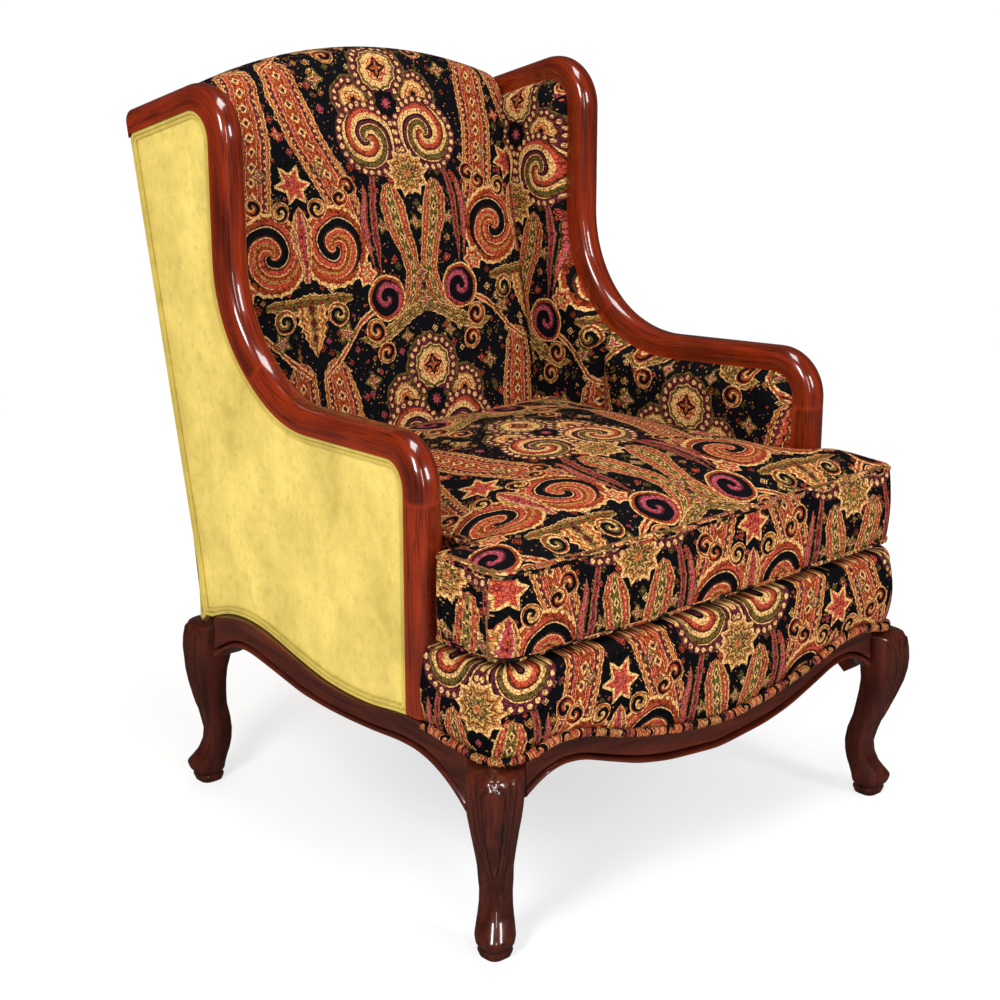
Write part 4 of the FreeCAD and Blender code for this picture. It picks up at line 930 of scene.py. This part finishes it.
    tone = made.noise(cloth, 22, 4, 0.6)
    colour = made.mix(made.math("MULTIPLY", tone, 0.5), drawing.colour, made.mix(1.0, drawing.colour,
                      (0.62, 0.50, 0.45), "MULTIPLY"))
    weft = made.node("ShaderNodeTexWave", "Fac", sockets={"Vector": cloth, "Scale": 160.0,
                                                          "Distortion": 0.8, "Detail": 1.0}, bands_direction="Y")
    warp = made.node("ShaderNodeTexWave", "Fac", sockets={"Vector": cloth, "Scale": 240.0,
                                                          "Distortion": 0.8, "Detail": 1.0}, bands_direction="X")
    colour = made.mix(made.math("MULTIPLY", weft, 0.30), colour, made.mix(1.0, colour, (0.55, 0.50, 0.50), "MULTIPLY"))
    thread = made.math("MULTIPLY", warp, weft)
    light = made.node("ShaderNodeRGBToBW", sockets={0: drawing.colour})
    normal = made.bump(thread, 0.25, 0.0006)
    normal = made.bump(light, 0.12, 0.0006, normal)
    return made.done(Base_Color=colour, Roughness=made.math("ADD", 0.70, made.math("MULTIPLY", tone, 0.2)),
                     Normal=normal, Specular_IOR_Level=0.08)


weave = paisley("woven_paisley")


# Padded insides of wings and arms
# Cotton and hair over the frame, under paisley pulled tight to the moulding. The wing's cover
# and the arm's cover meet in a seam that runs down from the hollow.

def wing_cloth(y, z):
    return (0.286 - y, 0.9745 - z)


def arm_cloth(y, z):
    return (-0.0645 - y, 0.562 - z)


def inward(y, z, out):
    return on_side(y, z, -out)


def inside_edge(wing):
    under = DEPTH - 0.001
    top = side_line(under, 0.006)
    if wing:
        line = top[(top[:, 1] > 0.59) & (top[:, 0] > JOINT)]
        line = line[line[:, 0] < back_y(line[:, 1]) - 0.020]
        down = np.linspace(line[-1, 1], 0.342, 50)[1:]
        rear_z = np.linspace(0.342, line[0, 1], 100)[:-1]
        rear = np.stack([back_y(rear_z) - 0.020, rear_z], axis=1)
        return np.concatenate([line, np.stack([np.full_like(down, JOINT), down], axis=1), rear])
    line = top[(top[:, 1] < 0.59) | (top[:, 0] < JOINT)]
    line = line[(line[:, 0] < JOINT) & (line[:, 1] > 0.342)]
    foot = np.linspace(line[-1, 0], JOINT, 60)
    rear_z = np.linspace(0.342, line[0, 1], 40)[1:-1]
    return np.concatenate([line, np.stack([foot, np.full_like(foot, 0.342)], axis=1),
                           np.stack([np.full_like(rear_z, JOINT), rear_z], axis=1)])


def side_swell(away, points):
    t = np.clip(away / 0.030, 0, 1)
    return 0.0195 + 0.0255 * np.sqrt(1 - (1 - t) ** 2) + 0.003 * (1 - np.exp(-away / 0.08))


for wing, word, node in ((True, "wing_pad", "inside_wing_pad"), (False, "arm_pad", "inside_arm_pad")):
    left = plate(word + "_left", inside_edge(wing), 0.007, inward, side_swell, 0.0135,
                 wing_cloth if wing else arm_cloth)
    right = mirrored(left, word + "_right")
    seat_piece(left, weave, "paisley", node + "_left")
    seat_piece(right, weave, "paisley", node + "_right")


# Inside back
# One deep pad on webbing, crowned in the middle, rolled over the crest rail and tacked behind
# it under the outside back's welt, and pulled down under the cushion at its foot.

def back_pad():
    columns = np.linspace(-1, 1, 91)
    half = 0.2975
    rings = []
    cloth = []
    for share in columns:
        x = half * share
        swell_here = 0.024 * (1 - abs(share) ** 4)
        pinch = 0.018 * (1 - math.sqrt(max(0, 1 - max(0, (abs(share) - 0.93) / 0.07) ** 2)))
        top = crest_at(x) - pinch
        ring = []
        for up in np.linspace(0.372, top - 0.040, 84):
            full = np.sin(np.clip((up - 0.372) / 0.62, 0, 1) * math.pi / 2) ** 0.8
            depth = 0.0685 + swell_here * (0.25 + 0.75 * full) - pinch
            depth -= 0.010 * np.clip((up - 0.86) / 0.16, 0, 1) ** 2
            ring.append((up, -depth))
        last = -ring[-1][1]
        for turn in np.linspace(0, 1, 20)[1:]:
            angle = turn * math.pi / 2
            ring.append((top - 0.040 + 0.040 * math.sin(angle), -(last - (last - 0.034) * (1 - math.cos(angle)))))
        for turn in np.linspace(0, 1, 10)[1:]:
            angle = turn * math.pi / 2
            ring.append((top - 0.020 + 0.020 * math.cos(angle), -0.034 + 0.031 * math.sin(angle)))
        ring += [(top - 0.024, -0.006), (top - 0.024, -0.040), (0.372, -0.040)]
        ups_out = np.array(ring)
        rings.append(on_back(np.full(len(ring), x), ups_out[:, 0], ups_out[:, 1]))
        run = run_along(ups_out)
        cloth.append(np.stack([x - 0.037 - 0.030 * np.clip((0.60 - run) / 0.15, 0, 1), 0.665 - run,
                               np.zeros(len(ring))], axis=1))
    piece = skin("inside_back", rings)
    lay(piece, "cloth", np.concatenate(cloth))
    return piece


inside_back = back_pad()
seat_piece(inside_back, weave, "paisley", "inside_back_pad")


# Upholstered border under the cushion
# A roll of paisley over hessian and wadding, tacked to the front rail and round to the stumps,
# its lower edge finished with a gathered cord of the same cloth that follows the apron.

def border_line(gap=0.005):
    """Plan of the border's face from the left stump round the front, with outward directions."""
    half = rounded([(0.370, -0.2655, 0), (0.370, -0.408, 0.046), (0, -0.408 - 0.012, 0)], gap)
    line = np.concatenate([half, (half * (-1, 1))[::-1][1:]])
    line = even(line, gap)
    ahead = headings(line)
    return line, np.stack([-ahead[:, 1], ahead[:, 0]], axis=1)


def border_low(x, y):
    front = np.interp(abs(x), [0, 0.09, 0.14, 0.19, 0.23, 0.28, 0.31, 0.34, 0.37],
                      [0.221, 0.230, 0.240, 0.252, 0.266, 0.272, 0.266, 0.258, 0.254])
    return np.where(y > -0.385, np.interp(y, [-0.40, -0.36, -0.30, -0.26], [0.254, 0.256, 0.262, 0.267]), front)


def border():
    line, outward = border_line()
    low = smooth(border_low(line[:, 0], line[:, 1]), 14) + 0.004
    run = run_along(line)
    run -= run[-1] / 2
    rings = []
    cloth = []
    for (x, y), (ox, oy), foot, along in zip(line, outward, low, run):
        high = 0.3705
        ring = []
        for share in np.linspace(0, 1, 22):
            z = foot + (high - 0.014 - foot) * share
            bulge = 0.0065 * math.sin(math.pi * share ** 0.9) - 0.004 * (1 - share) ** 3
            ring.append((x + ox * bulge, y + oy * bulge, z))
        for turn in np.linspace(0, 1, 9)[1:]:
            angle = turn * math.pi / 2
            back = -0.014 * (1 - math.cos(angle))
            ring.append((x + ox * back, y + oy * back, high - 0.014 + 0.014 * math.sin(angle)))
        for back in (-0.024, -0.036, -0.050, -0.064):
            ring.append((x + ox * back, y + oy * back, high + 0.0005 + 0.02 * (back + 0.024)))
        ring.append((x - ox * 0.064, y - oy * 0.064, 0.345))
        ring.append((x - ox * 0.020, y - oy * 0.020, foot + 0.02))
        ring.append((x - ox * 0.010, y - oy * 0.010, foot))
        rings.append(ring)
        cloth.append([(-along - 0.018, 0.518 - z, 0) for px, py, z in ring])
    piece = skin("border_roll", rings)
    lay(piece, "cloth", np.reshape(cloth, (-1, 3)))
    edge = np.stack([line[:, 0] + outward[:, 0] * 0.001, line[:, 1] + outward[:, 1] * 0.001, low - 0.001], axis=1)
    return piece, edge


roll, roll_foot = border()
seat_piece(roll, weave, "paisley", "front_border")


def gathered(name, line, radius):
    """A soft cord whose cover is ruched into small folds."""
    line = even(line, 0.0016)
    spot = np.arange(len(line))
    uneven = np.random.default_rng(4).normal(0, 1, len(line))
    uneven = np.convolve(uneven, np.hanning(9) / np.hanning(9).sum(), "same")
    fold = 1 + 0.10 * np.sin(spot * 1.15 + 2.2 * uneven) + 0.10 * uneven
    return cord(name, line, radius, 14, ripple=fold)


edge_cord = gathered("border_gathered_cord", roll_foot, 0.0054)
kept = cord_kept(edge_cord)
lay(edge_cord, "cloth", np.stack([kept[:, 0] * 2.3, 0.25 + kept[:, 1] * 0.010, 0 * kept[:, 0]], axis=1))
seat_piece(edge_cord, weave, "paisley")


# Sprung deck
# Plain cloth over a firm pad on the webbing; the cushion hides it until it is lifted out.

deck_edge = even([(-0.328, -0.347), (0.328, -0.347), (0.283, 0.243), (-0.283, 0.243), (-0.328, -0.347)], 0.012)[:-1]


def flat_up(x, y, z):
    return np.stack([np.asarray(x, float), np.asarray(y, float), np.asarray(z, float) + 0 * np.asarray(x)], axis=-1)


deck = plate("deck_cloth", deck_edge, 0.014, flat_up,
             lambda away, points: 0.3655 + 0.0055 * (1 - np.exp(-away / 0.03)), 0.342,
             lambda x, y: (x, y))


def plain_weave(name, thread, gap, density):
    """Plain cloth of two crossing threads."""
    made = Recipe(name)
    warp = made.node("ShaderNodeTexWave", "Fac", sockets={"Vector": made.place(), "Scale": density, "Distortion": 0.6},
                     bands_direction="X")
    weft = made.node("ShaderNodeTexWave", "Fac", sockets={"Vector": made.place(), "Scale": density, "Distortion": 0.6},
                     bands_direction="Y")
    threads = made.math("MAXIMUM", warp, weft)
    slub = made.noise(made.place(), 120, 4, 0.7)
    colour = made.mix(threads, gap, thread)
    colour = made.mix(made.math("MULTIPLY", slub, 0.4), colour, tuple(c * 0.6 for c in thread))
    normal = made.bump(threads, 0.5, 0.0008)
    return made.done(Base_Color=colour, Roughness=made.math("ADD", 0.75, made.math("MULTIPLY", slub, 0.2)),
                     Normal=normal)


deck_weave = plain_weave("deck_cotton", srgb("8a7f6c"), srgb("4a4336"), 380.0)
seat_piece(deck, deck_weave, "deck_cloth", "seat_deck")


# Loose seat cushion
# A T-shaped cushion that fits round the stumps: foam in a zipped paisley cover with a boxed
# side, crowned on top, a piping cord of the same cloth sewn into each seam.

def cushion_outline(inset, gap=0.006):
    """The T from above."""
    face = 0.2735 - inset
    splayed = face + math.tan(SPLAY) * (JOINT - STUMP)
    half = rounded([
        (0, -0.4085 + inset, 0), (0.20, -0.4045 + inset, 0.4), (0.364 - inset, -0.401 + inset, 0.024),
        (0.366 - inset, -0.2685 - inset, 0.014), (splayed + 0.004, -0.2685 - inset, 0.012),
        (face, JOINT, 0.3), (face, 0.200 - inset, 0.028), (0, 0.203 - inset, 0)], gap)
    line = np.concatenate([half, (half * (-1, 1))[::-1][1:-1]])
    return even(np.concatenate([line, line[:1]]), gap)[:-1]


SEAM_LOW = 0.3795
SEAM_HIGH = 0.489


def cushion_shape(name, inset):
    """Crowned top, boxing and flat underside, as one closed mesh."""
    edge = cushion_outline(inset)
    middle = np.array([0.0, -0.09])

    def rise(away, points):
        across = 1 - (points[:, 0] / 0.36) ** 2
        return SEAM_HIGH - inset + 0.043 * (1 - np.exp(-away / 0.055)) * (0.76 + 0.24 * across)

    lid = plate(name + "_lid", edge, 0.010, flat_up, rise, SEAM_HIGH - inset)
    held = lid.data
    points = np.array([tuple(v.co) for v in held.vertices])
    count = len(edge)
    start = len(points) - count
    face_list = [tuple(p.vertices) for p in held.polygons if not all(i >= start for i in p.vertices)]
    rows = [points[start:]]
    for share in np.linspace(0, 1, 14)[1:]:
        bulge = 0.004 * math.sin(math.pi * share)
        z = (SEAM_HIGH - inset) + (SEAM_LOW + inset - SEAM_HIGH + inset) * share
        out = edge + (edge - middle) / np.linalg.norm(edge - middle, axis=1)[:, None] * bulge
        rows.append(flat_up(out[:, 0], out[:, 1], np.full(count, z)))
    under = edge * 0.97 + middle * 0.03
    rows.append(flat_up(under[:, 0], under[:, 1], np.full(count, 0.3735 + inset)))
    every = [points]
    first = start
    for row in rows[1:]:
        second = sum(len(part) for part in every)
        every.append(row)
        for i in range(count):
            j = (i + 1) % count
            face_list.append((first + i, second + i, second + j, first + j))
        first = second
    face_list.append(tuple(first + i for i in range(count)))
    bpy.data.objects.remove(lid)
    return solid(name, np.concatenate(every), face_list)


def spots_of(mesh):
    found = np.zeros(len(mesh.vertices) * 3)
    mesh.vertices.foreach_get("co", found)
    return found.reshape(-1, 3)


def puff(piece, voxel, pressure, cap):
    """Blows the cover up like a stuffed cushion for a moment, its seams held in place."""
    rest = piece.modifiers.new("remesh", "REMESH")
    rest.mode = "VOXEL"
    rest.voxel_size = voxel
    bpy.context.view_layer.objects.active = piece
    bpy.ops.object.modifier_apply(modifier=rest.name)
    mesh = piece.data
    before = spots_of(mesh)
    edge = cushion_outline(0.0)
    near = far_from(before[:, :2], edge)
    held = piece.vertex_groups.new(name="seams")
    for index, (point, away) in enumerate(zip(before, near)):
        seam = min(abs(point[2] - SEAM_HIGH), abs(point[2] - SEAM_LOW))
        hold = 1.0 if seam < 0.006 and away < 0.008 else 0.9 if point[2] < 0.376 else 0.0
        if hold:
            held.add([index], hold, "REPLACE")
    soft = piece.modifiers.new("cloth", "CLOTH")
    soft.settings.quality = 6
    soft.settings.mass = 0.3
    soft.settings.tension_stiffness = 12
    soft.settings.compression_stiffness = 12
    soft.settings.shear_stiffness = 6
    soft.settings.bending_stiffness = 0.6
    soft.settings.use_pressure = True
    soft.settings.uniform_pressure_force = pressure
    soft.settings.vertex_group_mass = "seams"
    soft.settings.effector_weights.gravity = 0
    soft.collision_settings.use_collision = False
    scene = bpy.context.scene
    for number in range(1, 21):
        scene.frame_set(number)
    after = spots_of(piece.evaluated_get(bpy.context.evaluated_depsgraph_get()).to_mesh())
    piece.modifiers.remove(soft)
    scene.frame_set(1)
    moved = after - before
    far = np.linalg.norm(moved, axis=1)
    moved *= np.minimum(1, cap / np.maximum(far, 1e-9))[:, None]
    mesh.vertices.foreach_set("co", (before + moved).ravel())
    mesh.update()
    piece.vertex_groups.clear()


cover = cushion_shape("seat_cushion_cover", 0.004)
puff(cover, voxel=0.006, pressure=4.0, cap=0.014)
finer = cover.modifiers.new("finer", "SUBSURF")
finer.levels = finer.render_levels = 1
bpy.context.view_layer.objects.active = cover
bpy.ops.object.modifier_apply(modifier=finer.name)
cover.data.polygons.foreach_set("use_smooth", [True] * len(cover.data.polygons))
spots = spots_of(cover.data)
edge = cushion_outline(0.004)
run = run_along(np.concatenate([edge, edge[:1]]))
near = np.array([int(np.argmin(np.sum((edge - p[:2]) ** 2, axis=1))) for p in spots])
away = far_from(spots[:, :2], edge)
boxed = (spots[:, 2] < SEAM_HIGH + 0.001) & (away < 0.02)
on_front = spots[:, 1] < -0.375
flat_u = np.where(boxed, np.where(on_front, spots[:, 0] + 0.145, run[near]), spots[:, 0])
flat_v = np.where(boxed, SEAM_HIGH + 0.176 - spots[:, 2], 0.013 - spots[:, 1])
lay(cover, "cloth", np.stack([flat_u, flat_v, 0 * flat_u], axis=1))
seat_piece(cover, weave, "paisley", "cushion_cover", body="seat_cushion")

tree = BVHTree.FromObject(cover, bpy.context.evaluated_depsgraph_get())
for word, level, sag in (("upper", SEAM_HIGH + 0.001, 0), ("lower", SEAM_LOW, 0.004)):
    ring = cushion_outline(0.0, 0.004)
    line = []
    for x, y in ring:
        z = level - sag * max(0, 1 - (x / 0.36) ** 2) * (y < -0.3)
        hit = tree.find_nearest(Vector((x, y, z)))
        spot = hit[0] + hit[1] * 0.0006
        line.append(tuple(spot))
    line = np.array(line)
    for k in range(3):
        line[:, k] = (np.roll(line[:, k], 1) + line[:, k] * 2 + np.roll(line[:, k], -1)) / 4
    ripple = 1 + 0.06 * np.sin(np.arange(len(line)) * 1.9) + 0.04 * np.sin(np.arange(len(line)) * 0.53)
    piping = cord("cushion_piping_" + word, line, 0.0031, 12, closed=True, ripple=ripple)
    kept = cord_kept(piping)
    lay(piping, "cloth", np.stack([kept[:, 0] * 1.4 + 0.05, kept[:, 0] * 0.6 + kept[:, 1] * 0.004,
                                    0 * kept[:, 0]], axis=1))
    seat_piece(piping, weave, "paisley", body="seat_cushion")

foam = cushion_shape("cushion_foam", 0.010)


def foam_cells(name):
    made = Recipe(name)
    cells = made.node("ShaderNodeTexVoronoi", "Distance", sockets={"Vector": made.place(), "Scale": 700.0})
    patches = made.noise(made.place(), 14, 4, 0.6)
    colour = made.ramp(patches, [(0.3, srgb("d9cf9c")), (0.7, srgb("efe8c8"))])
    return made.done(Base_Color=colour, Roughness=made.math("ADD", 0.85, made.math("MULTIPLY", patches, 0.1)),
                     Normal=made.bump(cells, 0.6, 0.001))


seat_piece(foam, foam_cells("foam_core"), "foam", "cushion_core", body="seat_cushion")


# Hidden frame
# Sawn beech posts, rails and blocks, dowelled and glued, left as they came off the saw. Jute
# webbing carries the seat, and black cloth is stapled under it against dust.

def beech(name):
    made = Recipe(name)
    rings = made.noise(made.place(30, 30, 2.5), 1.0, 5, 0.6, 0.6)
    flecks = made.noise(made.place(500, 500, 60), 1.0, 2, 0.6)
    colour = made.ramp(rings, [(0.3, srgb("b98d5e")), (0.7, srgb("dcb98a"))])
    colour = made.mix(made.ramp(flecks, [(0.55, (0, 0, 0)), (0.7, (0.5, 0.5, 0.5))]), colour, srgb("7d5633"))
    saw = made.node("ShaderNodeTexWave", "Fac", sockets={"Vector": made.place(), "Scale": 60.0,
                                                         "Distortion": 3.0, "Detail": 2.0})
    return made.done(Base_Color=colour, Roughness=made.math("ADD", 0.6, made.math("MULTIPLY", rings, 0.25)),
                     Normal=made.bump(saw, 0.15, 0.0006))


raw_beech = beech("beech_sawn")
jute = plain_weave("jute_webbing", srgb("a58a5c"), srgb("5f4c2e"), 240.0)
black_cloth = plain_weave("dust_cloth_black", srgb("1c1c1e"), srgb("070708"), 420.0)
timbers = ("rear_rail", "corner_blocks", "crest_rail", "back_lower_rail", "back_post_left", "back_post_right",
           "side_post_left", "side_post_right", "tack_rail_left", "tack_rail_right")
for material, words in ((raw_beech, timbers), (jute, ("webbing_long", "webbing_cross")),
                        (black_cloth, ("dust_cover",))):
    for word in words:
        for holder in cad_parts[word].material_slots:
            holder.material = material


# Studio
# A pale sweep under broad soft lights, a strong one from the left of the camera.

def pale_sweep():
    made = Recipe("studio_paper")
    tone = made.noise(made.place(), 0.4, 2, 0.5)
    colour = made.ramp(tone, [(0.2, (0.93, 0.93, 0.93)), (0.8, (0.97, 0.97, 0.97))])
    made.done(Base_Color=colour, Roughness=0.9, Specular_IOR_Level=0.1)
    out = made.tree.nodes["Material Output"]
    seen = made.node("ShaderNodeLightPath", "Is Camera Ray")
    white = made.node("ShaderNodeEmission", sockets={"Color": (1, 1, 1, 1), "Strength": 1.0})
    share = made.math("MULTIPLY", seen, 0.62)
    lit = made.node("ShaderNodeMixShader", sockets={0: share, 1: made.shader.outputs[0], 2: white})
    mirror = made.node("ShaderNodeLightPath", "Is Glossy Ray")
    dark = made.node("ShaderNodeBsdfDiffuse", sockets={"Color": (0.05, 0.045, 0.04, 1)})
    both = made.node("ShaderNodeMixShader", sockets={0: mirror, 1: lit, 2: dark})
    made.tree.links.new(both, out.inputs[0])
    return made.material


paper = pale_sweep()
behind = 2.2
curve = 1.2
profile = [(-6.0, 0.0)] + [(behind + curve * math.sin(a), curve - curve * math.cos(a))
                           for a in np.linspace(0, math.pi / 2, 24)] + [(behind + curve, 6.0)]
sweep = skin("studio_sweep", [[(x, y, z) for x in np.linspace(-9, 9, 8)] for y, z in profile], closed=False)
view_turn = math.radians(41.52)
sweep.data.transform(Matrix.Rotation(-view_turn, 4, "Z"))
sweep.data.materials.append(paper)

world = bpy.data.worlds.new("studio_air")
bpy.context.scene.world = world
world.use_nodes = True
air = world.node_tree
glossy = air.nodes.new("ShaderNodeLightPath")
dimmer = air.nodes.new("ShaderNodeMapRange")
dimmer.inputs["To Min"].default_value = 0.62
dimmer.inputs["To Max"].default_value = 0.03
air.links.new(glossy.outputs["Is Glossy Ray"], dimmer.inputs["Value"])
air.links.new(dimmer.outputs["Result"], air.nodes["Background"].inputs["Strength"])
air.nodes["Background"].inputs["Color"].default_value = (1.0, 1.0, 1.0, 1)


def lamp(name, place, target, width, height, power):
    data = bpy.data.lights.new(name, "AREA")
    data.shape = "RECTANGLE"
    data.size = width
    data.size_y = height
    data.energy = power
    item = bpy.data.objects.new(name, data)
    item.location = place
    item.rotation_euler = (Vector(target) - Vector(place)).to_track_quat("-Z", "Y").to_euler()
    bpy.context.scene.collection.objects.link(item)


lamp("key_light", (-2.6, -1.2, 2.3), (0, 0, 0.5), 0.7, 1.4, 85)
lamp("front_light", (0.6, -3.2, 2.0), (0, 0, 0.5), 0.7, 1.3, 50)
lamp("top_light", (0.2, -0.4, 3.2), (0, 0, 0.5), 1.6, 0.8, 42)
lamp("edge_light", (-1.3, -2.6, 1.5), (0, 0, 0.6), 0.16, 1.6, 14)

camera = bpy.data.cameras.new("camera")
camera.sensor_width = 36
camera.lens = 74.592
viewer = bpy.data.objects.new("camera", camera)
viewer.location = (-1.848, -2.074, 1.257)
viewer.rotation_euler = (math.radians(90 - 16.75), 0, -view_turn)
bpy.context.scene.collection.objects.link(viewer)
bpy.context.scene.camera = viewer
bpy.context.scene.view_settings.view_transform = "Standard"
